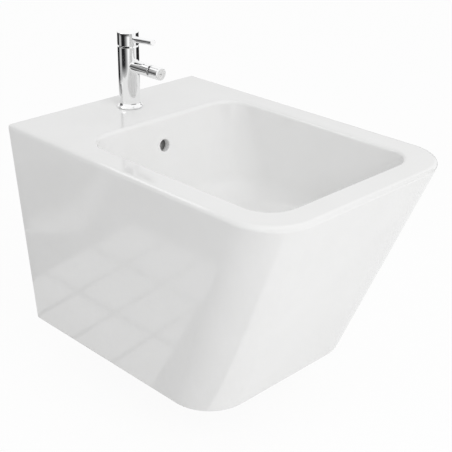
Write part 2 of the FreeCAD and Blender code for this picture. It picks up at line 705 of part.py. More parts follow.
def button_spring():
    """Compression spring that lifts the plug when the button is released."""
    height = SPRING_LENGTH - SPRING_WIRE - RUNNING - RUNNING
    turns = []
    for arc in coil_arcs(PISTON_RADIUS - SPRING_WIRE, height / SPRING_TURNS, SPRING_TURNS + SPRING_TURNS):
        start = arc.valueAt(arc.FirstParameter)
        wire = Part.makeCircle(SPRING_WIRE / 2, start, arc.tangentAt(arc.FirstParameter))
        sweep = math.degrees(arc.LastParameter - arc.FirstParameter)
        turns.append(Part.Face(Part.Wire(wire)).revolve(arc.Curve.Center, arc.Curve.Axis, sweep))
    coil = turns[0].fuse(turns[1:]).removeSplitter()
    coil.translate(V(0, 0, SPRING_Z + SPRING_WIRE / 2 + RUNNING))
    return at_waste(coil)


def tap_profile():
    """Half section of the tap body: foot, sweep, straight side and the start of the dome."""
    rounding = TAP_FOOT_DEPTH / 2
    cut_back = rounding * (1 - math.sqrt(1 / 2))
    width = TAP_FOOT - rounding - TAP_RADIUS
    sweep = (width * width + TAP_FLARE * TAP_FLARE) / 2 / width
    half_turn = math.asin(TAP_FLARE / sweep) / 2
    sweep_x = TAP_RADIUS + sweep * (1 - math.cos(half_turn))
    rise = TAP_FOOT_DEPTH + TAP_FLARE
    middle_z = EDGE_Z + DOME_LAND / 2
    return ((0, 0), (TAP_FOOT, 0), (TAP_FOOT, TAP_FOOT_DEPTH - rounding),
            (TAP_FOOT - cut_back, TAP_FOOT_DEPTH - cut_back, "mid"), (TAP_FOOT - rounding, TAP_FOOT_DEPTH),
            (sweep_x, rise - sweep * math.sin(half_turn), "mid"), (TAP_RADIUS, rise), (TAP_RADIUS, EDGE_Z),
            (on_sphere(DOME_RADIUS, middle_z - PIVOT_Z), middle_z, "mid"),
            (on_sphere(DOME_RADIUS, LAND_Z - PIVOT_Z), LAND_Z), (0, LAND_Z))


def tap_body():
    """Turned and cast body with its spout, waterways, cartridge chamber and fixing holes."""
    spout = along_spout(disc(SPOUT_RADIUS, 0, SPOUT_REACH))
    body = turned(*tap_profile()).fuse(spout).removeSplitter()
    root = [edge for edge in body.Edges if is_spout_root(edge)]
    body = body.makeFillet(SPOUT_BLEND, root)
    for cutter in tap_cutters():
        body = body.cut(cutter)
    return at_tap(body)


def is_spout_root(edge):
    """True for the edge where the spout leaves the tap body."""
    box = edge.BoundBox
    wide = abs(box.ZLength - SPOUT_RADIUS - SPOUT_RADIUS) < OVERRUN
    return wide and box.YMin > -TAP_RADIUS - OVERRUN and box.YMax < 0


def tap_cutters():
    """Everything that is bored or milled out of the tap body."""
    chamber = disc(CHAMBER_RADIUS, SEAT_Z, LAND_Z + OVERRUN)
    outlet = disc(OUTLET_RADIUS, WATERWAY_Z, SEAT_Z + OVERRUN, 0, OUTLET_BACK)
    half = WATERWAY_WIDTH / 2
    thread_rear = SPOUT_REACH - BALL_THREAD_LENGTH
    waterway = slab(-half, half, -thread_rear - OVERRUN, OUTLET_BACK,
                    WATERWAY_Z - WATERWAY_HEIGHT / 2, WATERWAY_Z + WATERWAY_HEIGHT / 2)
    thread = along_spout(disc(BALL_THREAD, thread_rear, SPOUT_REACH + OVERRUN))
    stud = disc(STUD_RADIUS, -OVERRUN, STUD_GRIP, 0, STUD_OFFSET)
    outer = TAP_FOOT - SEAL_INSET
    groove = ring(outer, outer - SEAL_WIDTH, -OVERRUN, SEAL_DEPTH - TAP_STANDOFF)
    cutters = [chamber, outlet, waterway, thread, stud, groove]
    for side in (-1, 1):
        cutters.append(disc(INLET_RADIUS, -OVERRUN, INLET_DEPTH, side * INLET_SPREAD, -PORT_FORWARD))
        cutters.append(disc(PORT_RADIUS, 0, SEAT_Z + OVERRUN, side * PORT_SPREAD, -PORT_FORWARD))
    return cutters


def base_seal():
    """Rubber ring in the tap's foot, standing on the deck."""
    outer = TAP_FOOT - SEAL_INSET
    return at_tap(ring(outer, outer - SEAL_WIDTH, -TAP_STANDOFF, SEAL_DEPTH - TAP_STANDOFF))


def shoe(low, high):
    """Horseshoe that spans the tap hole under the deck and leaves room for the supply hoses."""
    plate = disc(SHOE_RADIUS, low, high)
    rear = STUD_OFFSET - STUD_RADIUS - SHOE_WEB
    slot = slab(-SHOE_SLOT / 2, SHOE_SLOT / 2, -SHOE_RADIUS - OVERRUN, rear, low - OVERRUN, high + OVERRUN)
    hole = disc(STUD_RADIUS, low - OVERRUN, high + OVERRUN, 0, STUD_OFFSET)
    return plate.cut(slot).cut(hole)


def horseshoe_gasket():
    """Rubber horseshoe against the underside of the deck."""
    high = -TAP_STANDOFF - DECK
    return at_tap(shoe(high - SHOE_GASKET, high))


def horseshoe_washer():
    """Steel horseshoe that spreads the pull of the stud."""
    high = -TAP_STANDOFF - DECK - SHOE_GASKET
    return at_tap(shoe(high - SHOE_PLATE, high))


def tap_stud():
    """Threaded stud that pulls the tap down onto the deck."""
    return at_tap(disc(STUD_RADIUS, -TAP_STANDOFF - DECK - STUD_DROP, STUD_GRIP, 0, STUD_OFFSET))


def tap_nut():
    """Long hexagon nut on the stud."""
    high = -TAP_STANDOFF - DECK - SHOE_GASKET - SHOE_PLATE
    low = high - STUD_NUT_DEPTH
    nut = hexagon(STUD_NUT_FLATS, low, high).cut(disc(STUD_RADIUS, low - OVERRUN, high + OVERRUN))
    nut.translate(V(0, STUD_OFFSET, 0))
    return at_tap(nut)


def ports():
    """Place and radius of the two supply ports and the outlet port."""
    return ((-PORT_SPREAD, -PORT_FORWARD, PORT_RADIUS), (PORT_SPREAD, -PORT_FORWARD, PORT_RADIUS),
            (0, OUTLET_BACK, OUTLET_RADIUS))


def port_seals():
    """Rubber rings between the cartridge and its seat, one for each port."""
    rings = []
    for x, y, radius in ports():
        rings.append(ring(radius + PORT_SEAL_WIDTH, radius, SEAT_Z, SEAT_Z + PORT_SEAL_DEPTH, x, y))
    return at_tap(Part.makeCompound(rings))


def cartridge_base():
    """Plastic base of the cartridge, recessed for the port seals."""
    plate = disc(CARTRIDGE_RADIUS, PLATE_Z, FIXED_DISC_Z)
    for x, y, radius in ports():
        plate = plate.cut(disc(radius, PLATE_Z - OVERRUN, FIXED_DISC_Z + OVERRUN, x, y))
        plate = plate.cut(disc(radius + PORT_SEAL_WIDTH, SEAT_Z, SEAT_Z + PORT_SEAL_DEPTH, x, y))
    return at_tap(plate)


def fixed_disc():
    """Lower ceramic disc with the three ports."""
    high = FIXED_DISC_Z + FIXED_DISC_DEPTH
    plate = disc(CARTRIDGE_RADIUS - CARTRIDGE_WALL - LOOSE, FIXED_DISC_Z, high)
    for x, y, radius in ports():
        plate = plate.cut(disc(radius, FIXED_DISC_Z - OVERRUN, high + OVERRUN, x, y))
    return at_tap(plate)


def moving_disc():
    """Upper ceramic disc: its pocket joins the ports as it slides forwards."""
    plate = disc(MOVING_DISC_RADIUS, MOVING_DISC_Z, CARRIER_Z)
    pocket = disc(POCKET_RADIUS, MOVING_DISC_Z - OVERRUN, MOVING_DISC_Z + POCKET_DEPTH, 0, OUTLET_BACK / 2)
    return at_tap(plate.cut(pocket))


def disc_carrier():
    """Plastic carrier on the moving disc, with the pocket for the spindle's tip."""
    half_width = CARRIER_BLOCK_WIDTH / 2
    half_length = CARRIER_BLOCK_LENGTH / 2
    plate = disc(MOVING_DISC_RADIUS, CARRIER_Z, CARRIER_Z + CARRIER_PLATE)
    block = slab(-half_width, half_width, -half_length, half_length, CARRIER_Z, BLOCK_TOP_Z)
    pocket = disc(TIP_RADIUS + TIP_PLAY, TIP_Z - TIP_RADIUS - TIP_PLAY, BLOCK_TOP_Z + OVERRUN)
    return at_tap(plate.fuse(block).removeSplitter().cut(pocket))


def spindle_slot():
    """Space that the spindle sweeps in the rotor as the lever is lifted."""
    lean = math.tan(math.radians(LIFT_ANGLE))
    half = SPINDLE_WIDTH / 2 / math.cos(math.radians(LIFT_ANGLE)) + LOOSE
    up = ROTOR_ABOVE_PIVOT + OVERRUN
    down = PIVOT_Z - ROTOR_Z + OVERRUN
    across = SPINDLE_WIDTH / 2 + RUNNING
    places = ((-half, up), (half + up * lean, up), (half, 0), (half, -down),
              (-half - down * lean, -down), (-half, 0), (-half, up))
    points = [V(-across, y, PIVOT_Z + z) for y, z in places]
    return Part.Face(Part.makePolygon(points)).extrude(V(across + across, 0, 0))


def cartridge_rotor():
    """Rotor that turns with the handle, holds the pivot pin and steers the disc carrier."""
    flange = CARTRIDGE_RADIUS - CARTRIDGE_WALL - LOOSE
    top = PIVOT_Z + ROTOR_ABOVE_PIVOT
    rotor = turned((0, ROTOR_Z), (flange, ROTOR_Z), (flange, ROTOR_Z + ROTOR_FLANGE_DEPTH),
                   (ROTOR_NECK, ROTOR_Z + ROTOR_FLANGE_DEPTH), (ROTOR_NECK, top), (0, top))
    inner = CARRIER_BLOCK_WIDTH / 2 + TIP_PLAY
    low = CARRIER_Z + CARRIER_PLATE + LOOSE
    for side in (-1, 1):
        ends = sorted((side * inner, side * (inner + PRONG_WIDTH)))
        prong = slab(ends[0], ends[1], -PRONG_LENGTH / 2, PRONG_LENGTH / 2, low, ROTOR_Z + RUNNING)
        rotor = rotor.fuse(prong)
    rotor = rotor.removeSplitter().cut(spindle_slot())
    return at_tap(rotor.cut(pivot_rod(PIVOT_PIN, ROTOR_NECK + OVERRUN)))


def pivot_rod(radius, half_length):
    """Round bar across the tap at the height of the pivot."""
    return Part.makeCylinder(radius, half_length + half_length, V(-half_length, 0, PIVOT_Z), X_AXIS)


def pivot_pin():
    """Steel pin that the spindle rocks on."""
    return at_tap(pivot_rod(PIVOT_PIN, on_sphere(ROTOR_NECK, PIVOT_PIN) - RUNNING))


def cartridge_spindle():
    """Steel spindle: square shank in the cap, bored for the pin, with a ball tip in the carrier."""
    half = SPINDLE_WIDTH / 2
    shank = slab(-half, half, -half, half, PIVOT_Z - SPINDLE_BELOW_PIVOT, SPINDLE_TOP_Z)
    arm = disc(ARM_RADIUS, TIP_Z, PIVOT_Z)
    tip = Part.makeSphere(TIP_RADIUS, V(0, 0, TIP_Z))
    spindle = shank.fuse([arm, tip]).removeSplitter()
    return at_tap(spindle.cut(pivot_rod(PIVOT_PIN + RUNNING, half + OVERRUN)))


def cartridge_housing():
    """Plastic shell of the cartridge, with the shoulder that the ring nut presses on."""
    bore = CARTRIDGE_RADIUS - CARTRIDGE_WALL
    neck_bore = ROTOR_NECK + RUNNING
    neck = neck_bore + HOUSING_NECK_WALL
    top = PIVOT_Z + HOUSING_ABOVE_PIVOT
    shell = turned((bore, FIXED_DISC_Z), (CARTRIDGE_RADIUS, FIXED_DISC_Z), (CARTRIDGE_RADIUS, RING_NUT_Z),
                   (neck, RING_NUT_Z), (neck, top), (neck_bore, top), (neck_bore, SHOULDER_Z),
                   (bore, SHOULDER_Z))
    return at_tap(shell)


def ring_nut():
    """Notched brass nut that holds the cartridge down."""
    inner = ROTOR_NECK + RUNNING + HOUSING_NECK_WALL + LOOSE
    high = RING_NUT_Z + RING_NUT_DEPTH
    nut = ring(CHAMBER_RADIUS, inner, RING_NUT_Z, high)
    half = RING_NUT_NOTCH / 2
    notch = slab(0, CHAMBER_RADIUS, -half, half, high - RING_NUT_NOTCH_DEPTH, high + OVERRUN)
    return at_tap(nut.cut(repeated(notch, RING_NUT_NOTCHES)))


def dome_ring():
    """Chromed dome over the ring nut, on which the cap tilts."""
    inner = DOME_RADIUS - DOME_WALL
    low = LAND_Z - PIVOT_Z
    outer_top = on_sphere(DOME_RADIUS, DOME_OPENING)
    inner_top = on_sphere(inner, DOME_OPENING)
    outer_middle = (low + outer_top) / 2
    inner_middle = (low + inner_top) / 2
    return at_tap(turned((on_sphere(inner, low), LAND_Z), (on_sphere(DOME_RADIUS, low), LAND_Z),
                         (on_sphere(DOME_RADIUS, outer_middle), PIVOT_Z + outer_middle, "mid"),
                         (DOME_OPENING, PIVOT_Z + outer_top), (DOME_OPENING, PIVOT_Z + inner_top),
                         (on_sphere(inner, inner_middle), PIVOT_Z + inner_middle, "mid")))


def handle_cap():
    """Cap of the handle: hollowed to the dome, socketed for spindle, lever and grub screw."""
    cap = disc(TAP_RADIUS, CAP_Z, CAP_TOP_Z)
    crown = [edge for edge in cap.Edges if on_plane(edge, "z", CAP_TOP_Z)]
    cap = cap.makeFillet(CAP_EDGE, crown)
    cap = cap.cut(ball(CAP_HOLLOW, PIVOT_Z))
    half = SPINDLE_WIDTH / 2 + SOCKET_PLAY
    socket = slab(-half, half, -half, half, CAP_Z, SPINDLE_TOP_Z + SOCKET_PLAY)
    seat = along_lever(disc(LEVER_RADIUS, TAP_RADIUS - LEVER_SINK, TAP_RADIUS + OVERRUN))
    tail = along_lever(disc(LEVER_TAIL_RADIUS, TAP_RADIUS - LEVER_SINK - LEVER_TAIL, TAP_RADIUS))
    for cutter in (socket, seat, tail, screw_hole()):
        cap = cap.cut(cutter)
    return at_tap(cap)


def screw_hole():
    """Radial hole for the grub screw, at the back of the cap."""
    return Part.makeCylinder(SCREW_RADIUS, TAP_RADIUS + OVERRUN, V(0, 0, screw_z()), Y_AXIS)


def screw_z():
    """Height of the grub screw: the middle of the spindle's grip in the cap."""
    return SPINDLE_TOP_Z - SPINDLE_IN_CAP / 2


def handle_screw():
    """Grub screw with a hexagon socket, clamping the cap to the spindle."""
    screw = disc(SCREW_RADIUS, 0, SCREW_LENGTH)
    key = SCREW_SOCKET + SCREW_SOCKET
    screw = screw.cut(hexagon(key, SCREW_LENGTH - SCREW_SOCKET_DEPTH, SCREW_LENGTH + OVERRUN))
    screw.rotate(ORIGIN, X_AXIS, -90)
    screw.translate(V(0, SPINDLE_WIDTH / 2, screw_z()))
    return at_tap(screw)


def lever_pin():
    """Round lever, screwed into the cap by its tail."""
    root = TAP_RADIUS - LEVER_SINK
    lever = turned((0, root - LEVER_TAIL), (LEVER_TAIL_RADIUS, root - LEVER_TAIL), (LEVER_TAIL_RADIUS, root),
                   (LEVER_RADIUS, root), (LEVER_RADIUS, LEVER_REACH - LEVER_EDGE),
                   (LEVER_RADIUS - LEVER_EDGE, LEVER_REACH), (0, LEVER_REACH))
    return at_tap(along_lever(lever))


def ball_stem():
    """Hollow stem screwed into the spout, ending in the ball that the nozzle turns on."""
    rear = SPOUT_REACH - BALL_THREAD_LENGTH
    stem = turned((0, rear), (BALL_THREAD, rear), (BALL_THREAD, SPOUT_REACH), (BALL_NECK, SPOUT_REACH),
                  (BALL_NECK, BALL_AT), (0, BALL_AT))
    stem = stem.fuse(ball(BALL_RADIUS, BALL_AT)).removeSplitter()
    return at_tap(along_spout(stem.cut(disc(BALL_BORE, rear - OVERRUN, BALL_AT + BALL_RADIUS + OVERRUN))))


def ball_liner():
    """Slippery plastic liner between the ball and the nozzle."""
    bore = BALL_RADIUS + RUNNING
    rear = BALL_AT - LINER_REAR
    front = BALL_AT + LINER_FRONT
    liner = turned((on_sphere(bore, LINER_REAR), rear), (on_sphere(LINER_RADIUS, LINER_REAR), rear),
                   (LINER_RADIUS, BALL_AT, "mid"), (on_sphere(LINER_RADIUS, LINER_FRONT), front),
                   (on_sphere(bore, LINER_FRONT), front), (bore, BALL_AT, "mid"))
    return at_tap(along_spout(liner))


def nozzle_collar():
    """Threaded collar that holds the nozzle on the ball from behind."""
    rear = NOZZLE_REAR + NOZZLE_REAR_EDGE
    mouth_at = BALL_AT - LINER_REAR - LOOSE
    mouth = on_sphere(SEAT_RADIUS, LINER_REAR + LOOSE)
    collar = turned((0, rear), (COLLAR_RADIUS, rear), (COLLAR_RADIUS, BALL_AT), (0, BALL_AT))
    opening = turned((0, rear - OVERRUN), (SEAT_RADIUS, rear - OVERRUN), (mouth, mouth_at), (0, mouth_at))
    return at_tap(along_spout(collar.cut(ball(SEAT_RADIUS, BALL_AT)).cut(opening)))


def nozzle_shell():
    """Chromed swivel nozzle: seat for the ball, chamber for the aerator."""
    shell = turned((0, NOZZLE_REAR), (SPOUT_RADIUS - NOZZLE_REAR_EDGE, NOZZLE_REAR),
                   (SPOUT_RADIUS, NOZZLE_REAR + NOZZLE_REAR_EDGE), (SPOUT_RADIUS, NOZZLE_FRONT - NOZZLE_EDGE),
                   (SPOUT_RADIUS - NOZZLE_EDGE, NOZZLE_FRONT), (0, NOZZLE_FRONT))
    thread = disc(COLLAR_RADIUS, NOZZLE_REAR - OVERRUN, BALL_AT)
    chamber = disc(AERATOR_RADIUS, AERATOR_REAR - AERATOR_SEAL, NOZZLE_FRONT + OVERRUN)
    way = disc(on_sphere(SEAT_RADIUS, LINER_FRONT), BALL_AT, AERATOR_REAR)
    for cutter in (thread, ball(SEAT_RADIUS, BALL_AT), way, chamber):
        shell = shell.cut(cutter)
    return at_tap(along_spout(shell))


def aerator_seal():
    """Rubber washer behind the aerator."""
    inner = on_sphere(SEAT_RADIUS, LINER_FRONT)
    return at_tap(along_spout(ring(AERATOR_RADIUS, inner, AERATOR_REAR - AERATOR_SEAL, AERATOR_REAR)))


def aerator_insert():
    """Plastic aerator: a cup with a pierced face."""
    front = AERATOR_REAR + AERATOR_LENGTH
    cup = disc(AERATOR_RADIUS, AERATOR_REAR, front)
    cup = cup.cut(disc(AERATOR_RADIUS - AERATOR_WALL, AERATOR_REAR - OVERRUN, front - AERATOR_FACE))
    cup = cup.cut(disc(AERATOR_HUB_HOLE, AERATOR_REAR, front + OVERRUN))
    for count, radius_share in AERATOR_RING_SHARES:
        hole = disc(AERATOR_HOLE, AERATOR_REAR, front + OVERRUN, radius_share * AERATOR_RADIUS)
        cup = cup.cut(repeated(hole, count))
    return at_tap(along_spout(cup))


PIECES = (
    ceramic_body, ceramic_bowl, fixing_bushes, fixing_washers, fixing_nuts,
    waste_body, waste_gasket, lower_gasket, waste_washer, waste_nut,
    waste_plug, plug_seal, plug_stem, button_sleeve, button_spring,
    tap_body, base_seal, horseshoe_gasket, horseshoe_washer, tap_stud, tap_nut,
    port_seals, cartridge_base, fixed_disc, moving_disc, disc_carrier,
    cartridge_rotor, pivot_pin, cartridge_spindle, cartridge_housing, ring_nut,
    dome_ring, handle_cap, handle_screw, lever_pin,
    ball_stem, ball_liner, nozzle_collar, nozzle_shell, aerator_seal, aerator_insert,
)


def main():
    os.makedirs("parts", exist_ok=True)
    for piece in PIECES:
        shape = piece()
        shape.exportStep(os.path.join("parts", piece.__name__ + ".step"))
        print(f"{piece.__name__}: {len(shape.Solids)} solid, {shape.Volume / 1000:.2f} cm3, "
              f"valid {shape.isValid()}")


main()
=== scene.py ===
# %% [markdown]
# # A wall-hung bidet
# The real thing is one hollow casting of white glazed ceramic that hangs from two studs in the wall.
# A chromed mixer stands on its deck, and a push-button waste closes the hole in its floor.
# The working pieces were drawn in CAD, so this script loads them as a fixed frame first.
# Everything made here is in metres and in that same frame, so no piece needs fitting by hand.

# %% Load the frame
import json
import math

import bmesh
import bpy
from mathutils import Matrix, Vector


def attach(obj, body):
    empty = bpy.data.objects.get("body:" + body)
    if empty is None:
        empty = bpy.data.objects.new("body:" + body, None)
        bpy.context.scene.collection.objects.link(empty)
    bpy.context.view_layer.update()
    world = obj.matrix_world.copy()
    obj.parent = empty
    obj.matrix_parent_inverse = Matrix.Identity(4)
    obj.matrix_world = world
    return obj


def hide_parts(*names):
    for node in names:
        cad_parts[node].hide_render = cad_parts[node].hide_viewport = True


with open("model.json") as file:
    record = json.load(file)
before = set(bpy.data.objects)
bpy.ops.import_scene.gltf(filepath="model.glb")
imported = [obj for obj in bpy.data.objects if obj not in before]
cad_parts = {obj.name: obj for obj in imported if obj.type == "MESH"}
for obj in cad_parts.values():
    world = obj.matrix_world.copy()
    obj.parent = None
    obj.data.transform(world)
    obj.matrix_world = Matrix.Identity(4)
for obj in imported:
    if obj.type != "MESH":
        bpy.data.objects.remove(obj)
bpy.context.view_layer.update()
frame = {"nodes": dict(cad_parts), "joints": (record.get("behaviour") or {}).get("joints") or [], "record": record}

scene = bpy.context.scene
nodes = frame["nodes"]
slot_of = {part["node"]: part["material_slot"] for part in frame["record"]["subparts"]}
MM = 0.001

# %% [markdown]
# ## The camera
# The camera stands in front of the bidet, to its left, and looks down on it by about 25 degrees.
# Its three directions were worked out from the straight edges of the casting.
# A camera's matrix holds its right, up and backward directions as columns, and then its place.

# %% Camera
LENS = 80.82
SENSOR = 36.0
camera_right = Vector((0.71085504, -0.70326492, 0.01017658))
camera_up = Vector((0.29078991, 0.30704122, 0.90618261))
camera_look = Vector((0.64041107, 0.64120522, -0.42276415))
camera_place = Vector((-0.92359871, -1.18586008, 0.56629013))

camera_data = bpy.data.cameras.new("camera")
camera_data.lens = LENS
camera_data.sensor_width = SENSOR
camera = bpy.data.objects.new("camera", camera_data)
scene.collection.objects.link(camera)
turn = Matrix((camera_right, camera_up, -camera_look)).transposed()
camera.matrix_world = Matrix.Translation(camera_place) @ turn.to_4x4()
scene.camera = camera
scene.view_settings.view_transform = "Standard"
print("camera elevation, degrees:", round(math.degrees(math.asin(-camera_look.z)), 1))

# %% [markdown]
# ## A small kit for node materials
# Every finish of the object is a Principled shader with a few texture nodes in front of it.
# The textures read object coordinates, which here are metres, so a scale of 1000 means detail of about
# a millimetre.
# Values that are the same all over a surface are typed straight into the shader's own sockets.

# %% Material helpers
RANGE_START, RANGE_END = 0.3, 0.7


def new_finish(name, **sockets):
    """A material, its node tree and its shader, with constant values set on the shader's sockets."""
    material = bpy.data.materials.new(name)
    material.use_nodes = True
    tree = material.node_tree
    shader = tree.nodes["Principled BSDF"]
    for socket, value in sockets.items():
        shader.inputs[socket.replace("_", " ")].default_value = value
    return material, tree, shader


def texture(tree, kind, stretch=(1, 1, 1), **values):
    """A texture node that reads object coordinates, stretched along the three directions."""
    place = tree.nodes.new("ShaderNodeTexCoord")
    mapping = tree.nodes.new("ShaderNodeMapping")
    mapping.inputs["Scale"].default_value = stretch
    made = tree.nodes.new("ShaderNodeTex" + kind)
    tree.links.new(place.outputs["Object"], mapping.inputs["Vector"])
    tree.links.new(mapping.outputs["Vector"], made.inputs["Vector"])
    for socket, value in values.items():
        made.inputs[socket.replace("_", " ")].default_value = value
    return made


def colour_between(tree, source, low, high):
    """A colour that runs from low to high over the middle of the texture's range."""
    ramp = tree.nodes.new("ShaderNodeValToRGB")
    ramp.color_ramp.elements[0].position = RANGE_START
    ramp.color_ramp.elements[0].color = (*low, 1)
    ramp.color_ramp.elements[1].position = RANGE_END
    ramp.color_ramp.elements[1].color = (*high, 1)
    tree.links.new(source, ramp.inputs["Fac"])
    return ramp.outputs["Color"]


def value_between(tree, source, low, high):
    """A number that runs from low to high over the same part of the range."""
    spread = tree.nodes.new("ShaderNodeMapRange")
    ends = (("From Min", RANGE_START), ("From Max", RANGE_END), ("To Min", low), ("To Max", high))
    for socket, value in ends:
        spread.inputs[socket].default_value = value
    tree.links.new(source, spread.inputs["Value"])
    return spread.outputs["Result"]


def relief(tree, shader, source, height, strength):
    """Bump of a height in metres from a texture."""
    bump = tree.nodes.new("ShaderNodeBump")
    bump.inputs["Strength"].default_value = strength
    bump.inputs["Distance"].default_value = height
    tree.links.new(source, bump.inputs["Height"])
    tree.links.new(bump.outputs["Normal"], shader.inputs["Normal"])


print("finish helpers ready")

# %% [markdown]
# ## Glaze and bare clay
# Sanitary glaze is a thick white glass. It pools and thins a little, so its white shifts by a hair.
# Its surface keeps a very shallow ripple, which shows only where a light slides across it.
# Where the casting stands against the wall, and inside, it has no glaze. There the fired clay is matt
# and warmer, with the grain of the sponge that wiped it.

# %% Glaze
def make_glaze():
    material, tree, shader = new_finish("glaze", IOR=1.52)
    pool = texture(tree, "Noise", Scale=14.0, Detail=3.0)
    white = colour_between(tree, pool.outputs["Fac"], (0.905, 0.905, 0.9), (0.925, 0.925, 0.922))
    tree.links.new(white, shader.inputs["Base Color"])
    gloss = value_between(tree, pool.outputs["Fac"], 0.06, 0.12)
    tree.links.new(gloss, shader.inputs["Roughness"])
    ripple = texture(tree, "Noise", Scale=130.0, Detail=1.0)
    relief(tree, shader, ripple.outputs["Fac"], height=0.00012, strength=0.10)
    return material


def make_bare_clay():
    material, tree, shader = new_finish("bare_clay", IOR=1.5)
    patch = texture(tree, "Noise", Scale=38.0, Detail=6.0)
    clay = colour_between(tree, patch.outputs["Fac"], (0.66, 0.61, 0.53), (0.76, 0.72, 0.64))
    tree.links.new(clay, shader.inputs["Base Color"])
    tree.links.new(value_between(tree, patch.outputs["Fac"], 0.72, 0.9), shader.inputs["Roughness"])
    grain = texture(tree, "Noise", Scale=1400.0, Detail=4.0)
    relief(tree, shader, grain.outputs["Fac"], height=0.0003, strength=0.6)
    return material


glaze = make_glaze()
bare_clay = make_bare_clay()
print("made", glaze.name, "and", bare_clay.name)

# %% [markdown]
# ## Metals
# Chrome plate is nearly a mirror: its look comes from what it reflects, with only a trace of polishing haze.
# Brass that was turned and left unplated keeps fine tool rings and tarnishes in patches.
# Plain steel is drawn or stamped, so its grain runs one way.

# %% Metals
def make_chrome():
    material, tree, shader = new_finish("polished_chrome", Metallic=1.0)
    haze = texture(tree, "Noise", Scale=60.0, Detail=4.0)
    tint = colour_between(tree, haze.outputs["Fac"], (0.94, 0.943, 0.946), (0.965, 0.967, 0.969))
    tree.links.new(tint, shader.inputs["Base Color"])
    tree.links.new(value_between(tree, haze.outputs["Fac"], 0.035, 0.075), shader.inputs["Roughness"])
    buffing = texture(tree, "Noise", (1, 1, 0.15), Scale=900.0, Detail=2.0)
    relief(tree, shader, buffing.outputs["Fac"], height=0.00001, strength=0.05)
    return material


def make_brass():
    material, tree, shader = new_finish("turned_brass", Metallic=1.0)
    tarnish = texture(tree, "Noise", Scale=180.0, Detail=5.0)
    tint = colour_between(tree, tarnish.outputs["Fac"], (0.42, 0.29, 0.12), (0.66, 0.48, 0.22))
    tree.links.new(tint, shader.inputs["Base Color"])
    tree.links.new(value_between(tree, tarnish.outputs["Fac"], 0.42, 0.24), shader.inputs["Roughness"])
    rings = texture(tree, "Wave", Scale=420.0, Distortion=0.6)
    rings.bands_direction = "Z"
    relief(tree, shader, rings.outputs["Fac"], height=0.00004, strength=0.35)
    return material


def make_steel():
    material, tree, shader = new_finish("plain_steel", Metallic=1.0)
    grain = texture(tree, "Noise", (1, 0.08, 1), Scale=1600.0, Detail=3.0)
    tint = colour_between(tree, grain.outputs["Fac"], (0.44, 0.45, 0.46), (0.60, 0.61, 0.62))
    tree.links.new(tint, shader.inputs["Base Color"])
    tree.links.new(value_between(tree, grain.outputs["Fac"], 0.24, 0.40), shader.inputs["Roughness"])
    relief(tree, shader, grain.outputs["Fac"], height=0.00003, strength=0.3)
    return material


chrome = make_chrome()
brass = make_brass()
steel = make_steel()
print("made", chrome.name, brass.name, steel.name)

# %% [markdown]
# ## Rubber, plastics and disc ceramic
# The seals are moulded rubber with a dusty bloom.
# The cartridge and aerator are satin mouldings with the faint pebble of an etched mould.
# The valve discs are alumina, lapped so flat that two of them cling together.

# %% Rubber, plastics, discs
def make_moulding(name, dark, pale, rough, pebble, height):
    """A moulded finish: a cloudy colour and a pebbled surface."""
    material, tree, shader = new_finish(name, IOR=1.48)
    cloud = texture(tree, "Noise", Scale=240.0, Detail=4.0)
    tint = colour_between(tree, cloud.outputs["Fac"], dark, pale)
    tree.links.new(tint, shader.inputs["Base Color"])
    tree.links.new(value_between(tree, cloud.outputs["Fac"], *rough), shader.inputs["Roughness"])
    etched = texture(tree, "Voronoi", Scale=pebble)
    relief(tree, shader, etched.outputs["Distance"], height, strength=0.4)
    return material


rubber = make_moulding("seal_rubber", dark=(0.018, 0.018, 0.019), pale=(0.04, 0.04, 0.042),
                       rough=(0.6, 0.8), pebble=3200.0, height=0.00005)
white_plastic = make_moulding("white_moulding", dark=(0.80, 0.80, 0.795), pale=(0.87, 0.87, 0.865),
                              rough=(0.32, 0.45), pebble=2600.0, height=0.00003)
grey_plastic = make_moulding("grey_moulding", dark=(0.10, 0.105, 0.11), pale=(0.15, 0.155, 0.16),
                             rough=(0.35, 0.5), pebble=2600.0, height=0.00003)
disc_ceramic = make_moulding("lapped_alumina", dark=(0.72, 0.71, 0.67), pale=(0.80, 0.79, 0.76),
                             rough=(0.14, 0.24), pebble=5200.0, height=0.00001)
print("made four moulded finishes")

# %% [markdown]
# ## Finishes on the CAD pieces
# Every CAD piece knows its slot in the record, such as chrome or rubber.
# Its shape is already right, so it only gets the finish of that slot in place of its plain colour.

# %% Dress the CAD pieces
finish_of_slot = {
    "ceramic": glaze,
    "chrome": chrome,
    "brass": brass,
    "steel": steel,
    "rubber": rubber,
    "disc_ceramic": disc_ceramic,
    "white_plastic": white_plastic,
    "grey_plastic": grey_plastic,
}
for name, piece in nodes.items():
    piece.data.materials.clear()
    piece.data.materials.append(finish_of_slot[slot_of[name]])
print("dressed", len(nodes), "CAD pieces")

# %% [markdown]
# ## The casting
# The casting is slip-cast: an outer skin with rounded front corners and leaning walls, a deck, and a bowl
# that hangs in the middle of it. One could model it from a box with bevels, but the corners, leans and
# roundings would fight. Here it is a stack of rings instead.
# Each ring is a rounded rectangle with the same number of points. The rings run from the opening
# underneath, up the outside, over the rim, down the bowl, through the waste hole, and back along the hidden
# side to where they began. Neighbouring rings are joined by four-sided faces.

# %% Plan of a ring
CORNER_STEPS = 14
SIDE_STEPS = 26
CROSS_STEPS = 18


